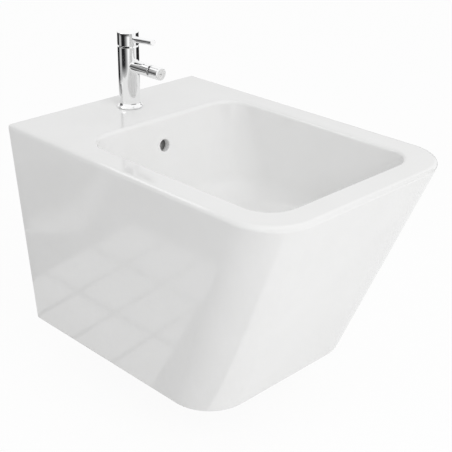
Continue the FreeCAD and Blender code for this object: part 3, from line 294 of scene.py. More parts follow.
def plan(half, rear, front, rear_corner, front_corner):
    """Points of a rounded rectangle and the way out at each, anticlockwise from the rear left corner."""
    # The last number of a centre is where its arc starts, in half turns.
    centres = (
        (-half + rear_corner, rear - rear_corner, rear_corner, 0.5),
        (-half + front_corner, front + front_corner, front_corner, 1.0),
        (half - front_corner, front + front_corner, front_corner, 1.5),
        (half - rear_corner, rear - rear_corner, rear_corner, 2.0),
    )
    arcs = []
    for x, y, radius, start in centres:
        angles = [math.pi * (start + 0.5 * step / CORNER_STEPS) for step in range(CORNER_STEPS + 1)]
        arcs.append([(x + radius * math.cos(a), y + radius * math.sin(a), math.cos(a), math.sin(a))
                     for a in angles])
    points = []
    for index, steps in enumerate((SIDE_STEPS, CROSS_STEPS, SIDE_STEPS, CROSS_STEPS)):
        points += arcs[index]
        leave, arrive = arcs[index][-1], arcs[(index + 1) % 4][0]
        for step in range(1, steps):
            points.append(tuple(a + (b - a) * step / steps for a, b in zip(leave, arrive)))
    return points


print("points in a ring:", len(plan(2, 0, -2, 1, 1)))

# %% [markdown]
# A corner between two walls is rounded by an arc that touches both of them.
# The arc is found in a side view first, as steps inward and up, and then carried round the ring.
# The sides, the front and the rear may each have their own arc, and the ring's corners blend them.

# %% Roundings
def rounding(radius, first, last, steps, support=1.5 * MM):
    """Rounds the corner between two straight lines: how far inward and how far up each point lies.
    A point a little beyond each end keeps the flat parts flat when the shading is smoothed."""
    first, last = Vector(first).normalized(), Vector(last).normalized()
    opening = first.angle(last)
    reach = radius / math.tan(opening / 2)
    centre = (first + last).normalized() * (radius / math.sin(opening / 2))
    start, end = first * reach - centre, last * reach - centre
    sweep = math.pi - opening
    arc = []
    for step in range(steps + 1):
        share = step / steps
        swung = start * math.sin((1 - share) * sweep) + end * math.sin(share * sweep)
        arc.append(centre + swung / math.sin(sweep))
    return [first * (reach + support), *arc, last * (reach + support)]


def corner_rings(shape, level, sides, fronts, rears):
    """Rings along a rounded corner. level gives the height of the corner's plane at a place."""
    half, rear, front, rear_corner, front_corner = shape
    smallest = 0.3 * MM
    rings = []
    for side, ahead, behind in zip(sides, fronts, rears):
        outline = plan(half - side.x, rear - behind.x, front + ahead.x,
                       max(rear_corner - (side.x + behind.x) / 2, smallest),
                       max(front_corner - (side.x + ahead.x) / 2, smallest))
        ring = []
        for x, y, out_x, out_y in outline:
            lift = side.y * out_x ** 2 + (ahead.y if out_y < 0 else behind.y) * out_y ** 2
            ring.append(Vector((x, y, level(x, y) + lift)))
        rings.append(ring)
    return rings


print("points on a square corner rounded in 16 steps:", len(rounding(MM, (1, 0), (0, 1), 16)))

# %% [markdown]
# ## Sizes of the casting
# These lengths are the CAD model's own, in millimetres.
# A wall's lean is how far it moves inward for each step down.

# %% Casting sizes
RIM_Z, FOOT_Z, DECK_UNDER, FLOOR_Z = 85 * MM, -241 * MM, 71 * MM, -65 * MM
RIM_HALF, RIM_FRONT, RIM_CORNER = 180 * MM, -517.5 * MM, 69.5 * MM
FOOT_HALF, FOOT_FRONT, FOOT_CORNER = 155.25 * MM, -386 * MM, 63.5 * MM
BOWL_HALF, BOWL_REAR, BOWL_FRONT, BOWL_CORNER = 140.8 * MM, -127 * MM, -475.3 * MM, 42 * MM
BOWL_DEPTH = RIM_Z - FLOOR_Z
SIDE_LEAN = (RIM_HALF - FOOT_HALF) / (RIM_Z - FOOT_Z)
FRONT_LEAN = (FOOT_FRONT - RIM_FRONT) / (RIM_Z - FOOT_Z)
BOWL_SIDE_LEAN, BOWL_REAR_LEAN = 13 * MM / BOWL_DEPTH, 22 * MM / BOWL_DEPTH
BOWL_CORNER_GROWTH = 24 * MM / BOWL_DEPTH
WALL, REAR_WALL = 10 * MM, 13 * MM
REAR_EDGE, RIM_EDGE, FOOT_EDGE, LIP_EDGE, FLOOR_EDGE = 2.5 * MM, 6 * MM, 4 * MM, 6 * MM, 48 * MM
WASTE_Y = -232 * MM
DISH_RADIUS = 1500 * MM


def outside(z, inset=0.0, rear=0.0, rear_corner=REAR_EDGE):
    """Plan sizes of the outer walls at a height, drawn in by a wall thickness."""
    share = (z - FOOT_Z) / (RIM_Z - FOOT_Z)
    half = FOOT_HALF + SIDE_LEAN * (z - FOOT_Z) - inset
    front = FOOT_FRONT - FRONT_LEAN * (z - FOOT_Z) + inset * math.hypot(1, FRONT_LEAN)
    corner = FOOT_CORNER + (RIM_CORNER - FOOT_CORNER) * share - inset
    return half, -rear, front, rear_corner, corner


def bowl(depths, grow=0.0):
    """Plan sizes of the bowl at depths below the rim for its sides, front and rear, grown by a thickness."""
    side, ahead, behind = depths
    corner = BOWL_CORNER + BOWL_CORNER_GROWTH * ahead + grow
    return (BOWL_HALF - BOWL_SIDE_LEAN * side + grow, BOWL_REAR - BOWL_REAR_LEAN * behind + grow,
            BOWL_FRONT + FRONT_LEAN * ahead - grow, corner, corner)


def dish(x, y):
    """Height of the bowl's floor, which is very slightly dished towards the waste."""
    return FLOOR_Z + (x * x + (y - WASTE_Y) ** 2) / (2 * DISH_RADIUS)


print("front wall leans by degrees:", round(math.degrees(math.atan(FRONT_LEAN)), 1))

# %% [markdown]
# ## Outside, rim and bowl
# Each corner gets three roundings, because the sides, the front and the rear lean by different amounts.
# The floor's rounding is measured from the dish, so that the bowl runs into its floor without a crease.

# %% Glazed rings
def level(z):
    """A flat plane at a height."""
    return lambda x, y: z


def same(radius, first, last, steps):
    """One rounding, used on all sides."""
    return [rounding(radius, first, last, steps)] * 3


INWARD, OUTWARD, UP, DOWN = (1, 0), (-1, 0), (0, 1), (0, -1)
HATCH = (100.25 * MM, -23 * MM, -331 * MM, 24 * MM, 45 * MM)
HATCH_EDGE = 3 * MM
PLATE = 10 * MM
PLATE_Z = FOOT_Z + PLATE
COARSE_STEPS, FOOT_STEPS, RIM_STEPS, FLOOR_STEPS = 5, 6, 16, 14

hatch_rings = corner_rings(HATCH, level(PLATE_Z), *same(HATCH_EDGE, OUTWARD, DOWN, COARSE_STEPS))
hatch_rings += corner_rings(HATCH, level(FOOT_Z), *same(HATCH_EDGE, UP, OUTWARD, COARSE_STEPS))

foot_rings = corner_rings(
    outside(FOOT_Z), level(FOOT_Z),
    rounding(FOOT_EDGE, INWARD, (-SIDE_LEAN, 1), FOOT_STEPS),
    rounding(FOOT_EDGE, INWARD, (-FRONT_LEAN, 1), FOOT_STEPS),
    rounding(REAR_EDGE, INWARD, UP, FOOT_STEPS))
rim_rings = corner_rings(
    outside(RIM_Z), level(RIM_Z),
    rounding(RIM_EDGE, (SIDE_LEAN, -1), INWARD, RIM_STEPS),
    rounding(RIM_EDGE, (FRONT_LEAN, -1), INWARD, RIM_STEPS),
    rounding(REAR_EDGE, DOWN, INWARD, RIM_STEPS))
lip_rings = corner_rings(
    bowl((0, 0, 0)), level(RIM_Z),
    rounding(LIP_EDGE, OUTWARD, (BOWL_SIDE_LEAN, -1), RIM_STEPS),
    rounding(LIP_EDGE, OUTWARD, (FRONT_LEAN, -1), RIM_STEPS),
    rounding(LIP_EDGE, OUTWARD, (BOWL_REAR_LEAN, -1), RIM_STEPS))


def floor_rings(grow, radius, steps):
    """Rings from the bowl's walls to its floor, for its inside or, grown by the wall, its underside."""
    walls = ((BOWL_SIDE_LEAN, BOWL_HALF),
             (FRONT_LEAN, WASTE_Y - BOWL_FRONT),
             (BOWL_REAR_LEAN, BOWL_REAR - WASTE_Y))
    depths, roundings = [], []
    for lean, span in walls:
        away = span - lean * BOWL_DEPTH
        slope = away / DISH_RADIUS
        depths.append(BOWL_DEPTH - away * away / (2 * DISH_RADIUS) + grow)
        bend = rounding(radius, (-lean, 1), (1, -slope), steps)
        roundings.append([Vector((step.x, step.y + slope * step.x)) for step in bend])
    return corner_rings(bowl(depths, grow), lambda x, y: dish(x, y) - grow, *roundings)


bowl_rings = floor_rings(0.0, FLOOR_EDGE, FLOOR_STEPS)
print("glazed rings:", len(foot_rings + rim_rings + lip_rings + bowl_rings))

# %% [markdown]
# ## Waste hole and hidden side
# The rings turn from rounded rectangles into circles on the way to the waste hole. They can, because every
# ring has the same number of points. Below the hole is the thick boss that the waste clamps to.
# From there the rings go back up the underside of the bowl and down the inside of the outer walls.
# The steps of the waste hole are radii and heights in millimetres, from the lowest point of the dish.
# Where a height is None, the ring lies on the dish itself.

# %% Hidden rings
WASTE_STEPS = (
    (33.9, None), (33.25, 0.1), (33, -0.5), (33, -2.0), (32.6, -2.45), (32, -2.5), (24, -2.5), (23.2, -2.7),
    (23, -3.4), (23, -30), (23.3, -30.8), (24.2, -31), (39.2, -31), (40.5, -30.4), (41, -29), (41, -15),
    (42, -12), (44.5, -10.3), (49, -9.3))


def waste_circle(ring, radius, height):
    """A circle round the waste axis, with each point in the direction of the ring's own point."""
    circle = []
    for point in ring:
        way = Vector((point.x, point.y - WASTE_Y)).normalized() * radius
        z = dish(way.x, WASTE_Y + way.y) if height is None else FLOOR_Z + height
        circle.append(Vector((way.x, WASTE_Y + way.y, z)))
    return circle


def across_floor(start, end, shares, drop):
    """Rings between two rings, laid on the dish or at a drop below it."""
    rings = []
    for share in shares:
        flat = [a.lerp(b, share) for a, b in zip(start, end)]
        rings.append([Vector((p.x, p.y, dish(p.x, p.y) - drop)) for p in flat])
    return rings


waste_rings = [waste_circle(bowl_rings[-1], r * MM, None if z is None else z * MM) for r, z in WASTE_STEPS]
UNDER_STEPS = 10
INSIDE_CORNER, INSIDE_EDGE, CEILING_EDGE = 6 * MM, 8 * MM, 10 * MM
under_rings = floor_rings(WALL, FLOOR_EDGE + WALL, UNDER_STEPS)[::-1]
inside_top = outside(DECK_UNDER, WALL, REAR_WALL, INSIDE_CORNER)
inside_foot = outside(PLATE_Z, WALL, REAR_WALL, INSIDE_CORNER)
deck_depth = RIM_Z - DECK_UNDER

ceiling_rings = corner_rings(
    bowl([deck_depth] * 3, WALL), level(DECK_UNDER),
    rounding(INSIDE_EDGE, (BOWL_SIDE_LEAN, -1), OUTWARD, COARSE_STEPS),
    rounding(INSIDE_EDGE, (FRONT_LEAN, -1), OUTWARD, COARSE_STEPS),
    rounding(INSIDE_EDGE, (BOWL_REAR_LEAN, -1), OUTWARD, COARSE_STEPS))
ceiling_rings += corner_rings(
    inside_top, level(DECK_UNDER),
    rounding(CEILING_EDGE, INWARD, (SIDE_LEAN, -1), COARSE_STEPS),
    rounding(CEILING_EDGE, INWARD, (FRONT_LEAN, -1), COARSE_STEPS),
    rounding(CEILING_EDGE, INWARD, DOWN, COARSE_STEPS))
plate_rings = corner_rings(
    inside_foot, level(PLATE_Z),
    rounding(INSIDE_EDGE, (-SIDE_LEAN, 1), INWARD, COARSE_STEPS),
    rounding(INSIDE_EDGE, (-FRONT_LEAN, 1), INWARD, COARSE_STEPS),
    rounding(INSIDE_EDGE, UP, INWARD, COARSE_STEPS))
print("hidden rings:", len(waste_rings + under_rings + ceiling_rings + plate_rings))

# %% [markdown]
# ## Joining the rings
# The rings are joined in order, and the last one to the first, so the skin closes on itself like a bent tube.
# Faces of the hidden side get the second material, bare clay, and so does the ground face against the wall.

# %% Casting mesh
def mesh_piece(name, points, faces, materials):
    """A new object from points and faces, with all its faces turned outward."""
    mesh = bpy.data.meshes.new(name)
    mesh.from_pydata(points, [], faces)
    for material in materials:
        mesh.materials.append(material)
    work = bmesh.new()
    work.from_mesh(mesh)
    bmesh.ops.recalc_face_normals(work, faces=work.faces)
    work.to_mesh(mesh)
    work.free()
    piece = bpy.data.objects.new(name, mesh)
    scene.collection.objects.link(piece)
    return piece


def join_rings(rings):
    """Points and faces of a closed stack of rings."""
    count = len(rings[0])
    points = [point for ring in rings for point in ring]
    faces = []
    for row in range(len(rings)):
        above = (row + 1) % len(rings)
        for column in range(count):
            beside = (column + 1) % count
            faces.append((row * count + column, row * count + beside,
                          above * count + beside, above * count + column))
    return points, faces


FLOOR_SHARES, UNDER_SHARES = (0.3, 0.6, 0.85), (0.35, 0.7)
HOLE_RINGS = 11
WALL_TOUCH = 0.1 * MM
GLAZED, BARE = 0, 1
both = (glaze, bare_clay)
glazed = foot_rings + rim_rings + lip_rings + bowl_rings
glazed += across_floor(bowl_rings[-1], waste_rings[0], FLOOR_SHARES, 0.0)
hole = waste_rings[:HOLE_RINGS]
boss = waste_rings[HOLE_RINGS:] + across_floor(waste_rings[-1], under_rings[0], UNDER_SHARES, WALL)
hidden = boss + under_rings + ceiling_rings + plate_rings
rings = glazed + hole + hidden + hatch_rings
casting = mesh_piece("ceramic_casting", *join_rings(rings), both)
first_bare = (len(glazed) + len(hole)) * len(rings[0])
for face in casting.data.polygons:
    at_wall = face.center.y > -WALL_TOUCH
    face.material_index = BARE if face.index >= first_bare or at_wall else GLAZED
print("casting faces:", len(casting.data.polygons))

# %% [markdown]
# ## Holes and the overflow duct
# The holes are punched out of the soft casting, and the overflow duct is stuck on behind the bowl.
# Booleans do the same here with other solids, which are turned on a lathe or pushed out of an outline.
# Each of these has a finish for the faces that it leaves: glaze or bare clay.

# %% Solids for the booleans
SEGMENTS = 96
MERGE_DISTANCE = 1e-7


def lathe(name, steps, turned_to=None, place=(0, 0, 0), index=GLAZED):
    """A turned solid from (radius, height) steps that begin and end on the axis."""
    angles = [2 * math.pi * (step + 0.5) / SEGMENTS for step in range(SEGMENTS)]
    rings = []
    for radius, height in steps:
        rings.append([(radius * math.cos(a), radius * math.sin(a), height) for a in angles])
    points, faces = join_rings(rings)
    piece = mesh_piece(name, points, faces[:len(faces) - SEGMENTS], both)
    work = bmesh.new()
    work.from_mesh(piece.data)
    bmesh.ops.remove_doubles(work, verts=work.verts, dist=MERGE_DISTANCE)
    bmesh.ops.recalc_face_normals(work, faces=work.faces)
    for face in work.faces:
        face.material_index = index
        face.smooth = True
    work.to_mesh(piece.data)
    work.free()
    turn = turned_to.to_matrix().to_4x4() if turned_to else Matrix.Identity(4)
    piece.data.transform(Matrix.Translation(place) @ turn)
    return piece


def prism(name, outline, low, high, index, axis):
    """An outline pushed along the x or y axis, with flat ends."""
    count = len(outline)
    points = []
    for end in (low, high):
        for a, b in outline:
            points.append((end, a, b) if axis == "x" else (a, end, b))
    faces = [tuple(range(count)), tuple(range(2 * count - 1, count - 1, -1))]
    for step in range(count):
        beside = (step + 1) % count
        faces.append((step, beside, count + beside, count + step))
    piece = mesh_piece(name, points, faces, both)
    for face in piece.data.polygons:
        face.material_index = index
    return piece


print("lathe with", SEGMENTS, "sides and prism ready")

# %% [markdown]
# A boolean is a modifier in Blender. Its result is taken over as a new mesh, and then the modifier and the
# other solid can go. The exact solver is slower, but it copes with the thin walls.
# The duct comes first: a lump is added behind the bowl, and then its passage is taken away.

# %% Overflow duct
def combine(piece, other, operation):
    """Applies a boolean with another solid, which is then removed."""
    change = piece.modifiers.new(operation, "BOOLEAN")
    change.operation = operation
    change.solver = "EXACT"
    change.object = other
    bpy.context.view_layer.update()
    graph = bpy.context.evaluated_depsgraph_get()
    result = bpy.data.meshes.new_from_object(piece.evaluated_get(graph))
    result.name = piece.data.name
    piece.modifiers.clear()
    piece.data = result
    bpy.data.objects.remove(other)


def section(offset, top, end_y):
    """Side view of the bowl's rear wall and floor, at an offset outside them, down to an end on the floor."""
    stretch = math.hypot(1, BOWL_REAR_LEAN)
    floor = FLOOR_Z - offset

    def rear(z):
        return BOWL_REAR - BOWL_REAR_LEAN * (RIM_Z - z) + offset * stretch

    bend = rounding(FLOOR_EDGE + offset, (BOWL_REAR_LEAN, 1), (-1, 0), UNDER_STEPS, 0.0)
    curve = [(rear(floor) + step.x, floor + step.y) for step in bend[1:-1]]
    return [(rear(top), top), *curve, (end_y, floor)]


DUCT_HALF, DUCT_WALL, DUCT_GAP, DUCT_REAR_WALL = 22 * MM, 9 * MM, 12 * MM, 7 * MM
LUMP_HALF, LUMP_TOP, LUMP_END = DUCT_HALF + DUCT_WALL, DECK_UNDER + 3 * MM, WASTE_Y + 30 * MM
PASSAGE_TOP, PASSAGE_END = 54.5 * MM, WASTE_Y + 10 * MM
outer_side = section(WALL + DUCT_GAP + DUCT_REAR_WALL, LUMP_TOP, LUMP_END)
inner_side = section(WALL / 2, LUMP_TOP, LUMP_END)
lump = prism("lump", outer_side + inner_side[::-1], -LUMP_HALF, LUMP_HALF, BARE, "x")
combine(casting, lump, "UNION")
outer_side = section(WALL + DUCT_GAP, PASSAGE_TOP, PASSAGE_END)
inner_side = section(WALL, PASSAGE_TOP, PASSAGE_END)
passage = prism("passage", outer_side + inner_side[::-1], -DUCT_HALF, DUCT_HALF, GLAZED, "x")
combine(casting, passage, "DIFFERENCE")
print("casting faces with its duct:", len(casting.data.polygons))

# %% [markdown]
# The overflow's mouth is wiped round with a finger, so it flares. Its cutter is a turned horn,
# square to the leaning wall.

# %% Overflow
OVERFLOW_Z, OVERFLOW_RADIUS, OVERFLOW_EDGE = 43.5 * MM, 9 * MM, 2 * MM
HORN_START, HORN_END = -4 * MM, 15 * MM
FLARE_STEPS = 8
horn = [(0, HORN_START), (OVERFLOW_RADIUS + OVERFLOW_EDGE, HORN_START)]
for step in range(FLARE_STEPS + 1):
    angle = math.pi / 2 * step / FLARE_STEPS
    horn.append((OVERFLOW_RADIUS + OVERFLOW_EDGE * (1 - math.sin(angle)),
                 OVERFLOW_EDGE * (1 - math.cos(angle))))
horn += [(OVERFLOW_RADIUS, HORN_END), (0, HORN_END)]
overflow_y = BOWL_REAR - BOWL_REAR_LEAN * (RIM_Z - OVERFLOW_Z)
square_to_wall = Vector((0, 1, -BOWL_REAR_LEAN)).to_track_quat("Z", "X")
combine(casting, lathe("horn", horn, square_to_wall, (0, overflow_y, OVERFLOW_Z)), "DIFFERENCE")
print("overflow of", round(2 * OVERFLOW_RADIUS / MM), "mm at", (0, round(overflow_y, 4), OVERFLOW_Z))

# %% [markdown]
# The tap hole goes down through the deck, and the stud holes go in from the wall. The opening below them
# lets hands and pipes in. The tap's place comes from the frame, as the axis that its lever turns about.

# %% Tap hole, stud holes, rear opening
OVERRUN = 5 * MM
TAP_HOLE, STUD_HOLE, STUD_OFFSET = 16 * MM, 12 * MM, 90 * MM


def drill(name, radius, low, high, index, turned_to=None, place=(0, 0, 0)):
    """A round hole through the casting, with its edges left square."""
    steps = [(0, low), (radius, low), (radius, high), (0, high)]
    combine(casting, lathe(name, steps, turned_to, place, index), "DIFFERENCE")


joints = {joint["name"]: joint for joint in frame["joints"]}
TAP_Y = joints["temperature_turn"]["pos_m"][1]
drill("tap_drill", TAP_HOLE, DECK_UNDER - OVERRUN, RIM_Z + OVERRUN, GLAZED, None, (0, TAP_Y, 0))
to_front = Vector((0, -1, 0)).to_track_quat("Z", "X")
for side in (-STUD_OFFSET, STUD_OFFSET):
    drill("stud_drill", STUD_HOLE, -OVERRUN, REAR_WALL + OVERRUN, BARE, to_front, (side, 0, 0))

OPENING_HALF, OPENING_LOW, OPENING_HIGH, OPENING_CORNER = 85 * MM, -205 * MM, -62 * MM, 24 * MM
middle = (OPENING_LOW + OPENING_HIGH) / 2
tall = (OPENING_HIGH - OPENING_LOW) / 2
outline = plan(OPENING_HALF, tall, -tall, OPENING_CORNER, OPENING_CORNER)
opening = [(x, middle + z) for x, z, _, _ in outline]
combine(casting, prism("opening", opening, -REAR_WALL - OVERRUN, OVERRUN, BARE, "y"), "DIFFERENCE")
print("casting faces with its holes:", len(casting.data.polygons))

# %% [markdown]
# Smooth shading blends the normals across faces that meet at a gentle angle. Edges sharper than the limit
# stay crisp, so the drilled holes keep their edges while the roundings look polished.

# %% Smooth the casting
SHARP_ANGLE = math.radians(35)
casting.data.shade_smooth()
casting.data.set_sharp_from_angle(angle=SHARP_ANGLE)
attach(casting, "bidet")
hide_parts("ceramic_body", "ceramic_bowl")
open_edges = bmesh.new()
open_edges.from_mesh(casting.data)
print("casting open edges:", sum(not edge.is_manifold for edge in open_edges.edges))
open_edges.free()

# %% [markdown]
# ## The studio
# The floor lies a hand's width below the foot, as it would under a bidet on a wall. It is pale.
# To the camera and in reflections it is nearly white, with just enough of its own shading left to keep
# the shadow. The Light Path node tells the shader which rays those are.

# %% Floor
FLOOR_LEVEL = -0.316
FLOOR_SIZE = 9.0
FLOOR_COLOUR = (0.92, 0.92, 0.92, 1)
SHADOW_SHARE = 0.06


def seen_rays(tree):
    """1 for rays that see the backdrop: from the camera, in a mirror or through glass."""
    path = tree.nodes.new("ShaderNodeLightPath")
    total = path.outputs["Is Camera Ray"]
    for other in ("Is Glossy Ray", "Is Transmission Ray"):
        either = tree.nodes.new("ShaderNodeMath")
        either.operation = "MAXIMUM"
        tree.links.new(total, either.inputs[0])
        tree.links.new(path.outputs[other], either.inputs[1])
        total = either.outputs[0]
    return total


def stage_sheet(name, outline, z, material):
    """A level sheet of the studio, which isn't part of the object."""
    mesh = bpy.data.meshes.new(name)
    mesh.from_pydata([(x, y, z) for x, y in outline], [], [tuple(range(len(outline)))])
    mesh.materials.append(material)
    sheet = bpy.data.objects.new(name, mesh)
    scene.collection.objects.link(sheet)
    return sheet


def make_floor_finish():
    """A matt white that looks nearly even, with a share of its shading left."""
    material = bpy.data.materials.new("pale_floor")
    material.use_nodes = True
    tree = material.node_tree
    tree.nodes.remove(tree.nodes["Principled BSDF"])
    matt = tree.nodes.new("ShaderNodeBsdfDiffuse")
    matt.inputs["Color"].default_value = FLOOR_COLOUR
    white = tree.nodes.new("ShaderNodeEmission")
    share = tree.nodes.new("ShaderNodeMath")
    share.operation = "MULTIPLY"
    share.inputs[1].default_value = 1 - SHADOW_SHARE
    tree.links.new(seen_rays(tree), share.inputs[0])
    mix = tree.nodes.new("ShaderNodeMixShader")
    tree.links.new(share.outputs[0], mix.inputs["Fac"])
    tree.links.new(matt.outputs[0], mix.inputs[1])
    tree.links.new(white.outputs[0], mix.inputs[2])
    tree.links.new(mix.outputs[0], tree.nodes["Material Output"].inputs["Surface"])
    return material


edge = FLOOR_SIZE / 2
floor_corners = [(-edge, -edge), (edge, -edge), (edge, edge), (-edge, edge)]
stage_sheet("floor", floor_corners, FLOOR_LEVEL, make_floor_finish())
print("floor at", FLOOR_LEVEL, "m")

# %% [markdown]
# The sky is white as well, but gives the surfaces somewhat less light than it shows.
# A Map Range node turns the 0 or 1 that says whether a ray sees the sky into its strength.

# %% Sky
SKY_LIGHT = 0.69
world = bpy.data.worlds.new("white_sky")
scene.world = world
world.use_nodes = True
sky_tree = world.node_tree
sky = sky_tree.nodes["Background"]
sky.inputs["Color"].default_value = (1, 1, 1, 1)
strength = sky_tree.nodes.new("ShaderNodeMapRange")
strength.inputs["To Min"].default_value = SKY_LIGHT
sky_tree.links.new(seen_rays(sky_tree), strength.inputs["Value"])
sky_tree.links.new(strength.outputs["Result"], sky.inputs["Strength"])
print("sky light", SKY_LIGHT)

# %% [markdown]
# ## The lamp
# One large soft lamp stands high in front, a little to the left. It is hidden from reflections,
# because a square of light in the chrome would give the studio away.

# %% Lamp
def soft_lamp(name, place, aim, size, power):
    """A square area lamp that points at a place."""
    data = bpy.data.lights.new(name, "AREA")
    data.size = size
    data.energy = power
    lamp = bpy.data.objects.new(name, data)
    scene.collection.objects.link(lamp)
    way = Vector(aim) - Vector(place)
    lamp.matrix_world = Matrix.Translation(place) @ way.to_track_quat("-Z", "Y").to_matrix().to_4x4()
    lamp.visible_glossy = False
    return lamp


LAMP_PLACE, LAMP_AIM = (-0.4, -2.3, 1.6), (0, -0.25, 0)
LAMP_SIZE, LAMP_POWER = 1.6, 20.0
lamp = soft_lamp("front_lamp", LAMP_PLACE, LAMP_AIM, LAMP_SIZE, LAMP_POWER)
print("lamp of", lamp.data.energy, "watts")

# %% [markdown]
# ## Dark felt for the chrome
# A mirror needs something dark to show, or chrome looks like white paint. Photographers lay dark mats and
# stand dark flags round shiny work for that. Those here are seen only in reflections.
# Every point of them carries a number, its shade: 1 is felt and 0 is clear. Blender blends the numbers
# across each face, so the felt can fade out, and the bands in the chrome end softly, as they do in a room.

# %% Felt
def make_felt():
    """A dark felt that is clear where its shade is 0."""
    material, tree, shader = new_finish("dark_felt", Roughness=0.9, Specular_IOR_Level=0.0)
    fibre = texture(tree, "Noise", Scale=30.0)
    tint = colour_between(tree, fibre.outputs["Fac"], (0.014, 0.014, 0.015), (0.028, 0.028, 0.03))
    tree.links.new(tint, shader.inputs["Base Color"])
    shade = tree.nodes.new("ShaderNodeAttribute")
    shade.attribute_name = "shade"
    clear = tree.nodes.new("ShaderNodeBsdfTransparent")
    mix = tree.nodes.new("ShaderNodeMixShader")
    tree.links.new(shade.outputs["Fac"], mix.inputs["Fac"])
    tree.links.new(clear.outputs[0], mix.inputs[1])
    tree.links.new(shader.outputs[0], mix.inputs[2])
    tree.links.new(mix.outputs[0], tree.nodes["Material Output"].inputs["Surface"])
    return material


def only_in_reflections(thing):
    """Hides a thing from every kind of ray but those of glossy surfaces."""
    thing.visible_camera = False
    thing.visible_diffuse = False
    thing.visible_transmission = False
    thing.visible_shadow = False


felt = make_felt()
print("made", felt.name)

# %% [markdown]
# Most mats and flags are patches of a ring round the tap. A patch is a grid: its columns are bearings
# round the tap, and its rows are distances for a mat or heights for a flag.
# Each bearing and each row has a shade, and a point's own shade is the two multiplied.

# %% Patches
RING = 1.45
BEARING_STEP = 6.0


def fine_stops(stops):
    """More stops in between, so that a patch bends round the tap without corners."""
    fine = []
    for (start, low), (end, high) in zip(stops, stops[1:]):
        count = math.ceil((end - start) / BEARING_STEP)
        fine += [(start + (end - start) * i / count, low + (high - low) * i / count) for i in range(count)]
    return fine + [stops[-1]]


def shaded_patch(name, points, shades, wide):
    """A patch of felt from rows of points, each with its shade, seen only in reflections."""
    rows = len(points) // wide
    faces = [(row * wide + i, row * wide + i + 1, (row + 1) * wide + i + 1, (row + 1) * wide + i)
             for row in range(rows - 1) for i in range(wide - 1)]
    patch = mesh_piece(name, points, faces, [felt])
    patch.data.attributes.new("shade", "FLOAT", "POINT").data.foreach_set("value", shades)
    only_in_reflections(patch)


def ring_patch(name, round_stops, rows):
    """A patch round the tap: bearings in degrees with their shades, and rows of radius, height and shade."""
    bearings = fine_stops(round_stops)
    points, shades = [], []
    for radius, z, strength in rows:
        for bearing, share in bearings:
            angle = math.radians(bearing)
            points.append((radius * math.cos(angle), TAP_Y + radius * math.sin(angle), z))
            shades.append(share * strength)
    shaded_patch(name, points, shades, len(bearings))


print("patches ready, ring of", RING, "m")

# %% [markdown]
# Three mats lie on the floor and give the dark bands of the tap's body and the underside of the lever.
# Three flags stand far off: they draw the long dark line on the spout and the dark ends of the foot.
# Bearings are in degrees from the right, anticlockwise, and distances and heights are in metres.

# %% Mats and flags round the tap
MAT_LEVEL = FLOOR_LEVEL + 2 * MM
MATS = {
    "rear_mat": ([(-44, 0), (-32, 1), (116, 1), (126, 0)],
                 [(1.28, 0), (1.5, 1), (3.0, 1)]),
    "left_mat": ([(142, 0), (156, 1), (188, 1), (204, 0.78), (216, 0.5), (226, 0)],
                 [(1.43, 0), (1.62, 1), (3.0, 1)]),
    "spout_mat": ([(106, 0), (116, 1), (134, 1), (144, 0)],
                  [(0.53, 0), (0.63, 0.8), (1.0, 0.8), (1.44, 0.75)]),
}
SPOUT_FLAG_HEIGHTS = [(-0.31, 0.55), (-0.24, 0.42), (-0.17, 0.5), (-0.12, 0.95), (0.2, 0.95), (0.36, 0.8),
                      (0.68, 0.65), (0.86, 0.5), (0.97, 0.15), (1.03, 0)]
FOOT_FLAG_HEIGHTS = [(0.13, 0), (0.17, 1), (0.38, 1), (0.44, 0)]
FLAGS = {
    "spout_flag": ([(100, 0), (110, 1), (144, 1), (154, 0)], SPOUT_FLAG_HEIGHTS),
    "right_foot_flag": ([(0, 0), (7, 0.85), (22, 0.85), (30, 0)], FOOT_FLAG_HEIGHTS),
    "left_foot_flag": ([(60, 0), (66, 0.85), (78, 0.85), (88, 0)], FOOT_FLAG_HEIGHTS),
}
for name, (bearings, distances) in MATS.items():
    ring_patch(name, bearings, [(distance, MAT_LEVEL, shade) for distance, shade in distances])
for name, (bearings, heights) in FLAGS.items():
    ring_patch(name, bearings, [(RING, height, shade) for height, shade in heights])
print("mats:", len(MATS), "flags:", len(FLAGS))

# %% [markdown]
# Two small flags stand close, where little else sees them. One is beside the tap, for the line under its cap.
# The other is before the front rim, whose rounding would mirror the sky as a bright line without it.

# %% Near flags
CAP_FLAG_RING = 44 * MM
CAP_FLAG_BEARINGS = [(144, 0), (150, 1), (238, 1), (246, 0)]
CAP_FLAG_HEIGHTS = [(0.186, 0), (0.190, 1), (0.203, 1), (0.206, 0)]
cap_rows = [(CAP_FLAG_RING, height, shade) for height, shade in CAP_FLAG_HEIGHTS]
ring_patch("cap_flag", CAP_FLAG_BEARINGS, cap_rows)

RIM_FLAG_GAP = 30 * MM
RIM_FLAG_Y = RIM_FRONT - RIM_FLAG_GAP
RIM_FLAG_ACROSS = [(-0.28, 0), (-0.22, 1), (0.24, 1), (0.30, 0)]
RIM_FLAG_HEIGHTS = [(0.062, 0), (0.072, 1), (0.14, 1), (0.17, 0)]
rim_points = [(x, RIM_FLAG_Y, z) for z, _ in RIM_FLAG_HEIGHTS for x, _ in RIM_FLAG_ACROSS]
rim_shades = [low * across for _, low in RIM_FLAG_HEIGHTS for _, across in RIM_FLAG_ACROSS]
shaded_patch("rim_flag", rim_points, rim_shades, len(RIM_FLAG_ACROSS))
print("near flags:", CAP_FLAG_RING, "m from the tap's axis and", RIM_FLAG_GAP, "m from the rim")

# %% [markdown]
# Two last mats lie beside the casting, where the glazed side panel and the corner next to it see them.
# The first is all felt, and the second fades out towards the front.

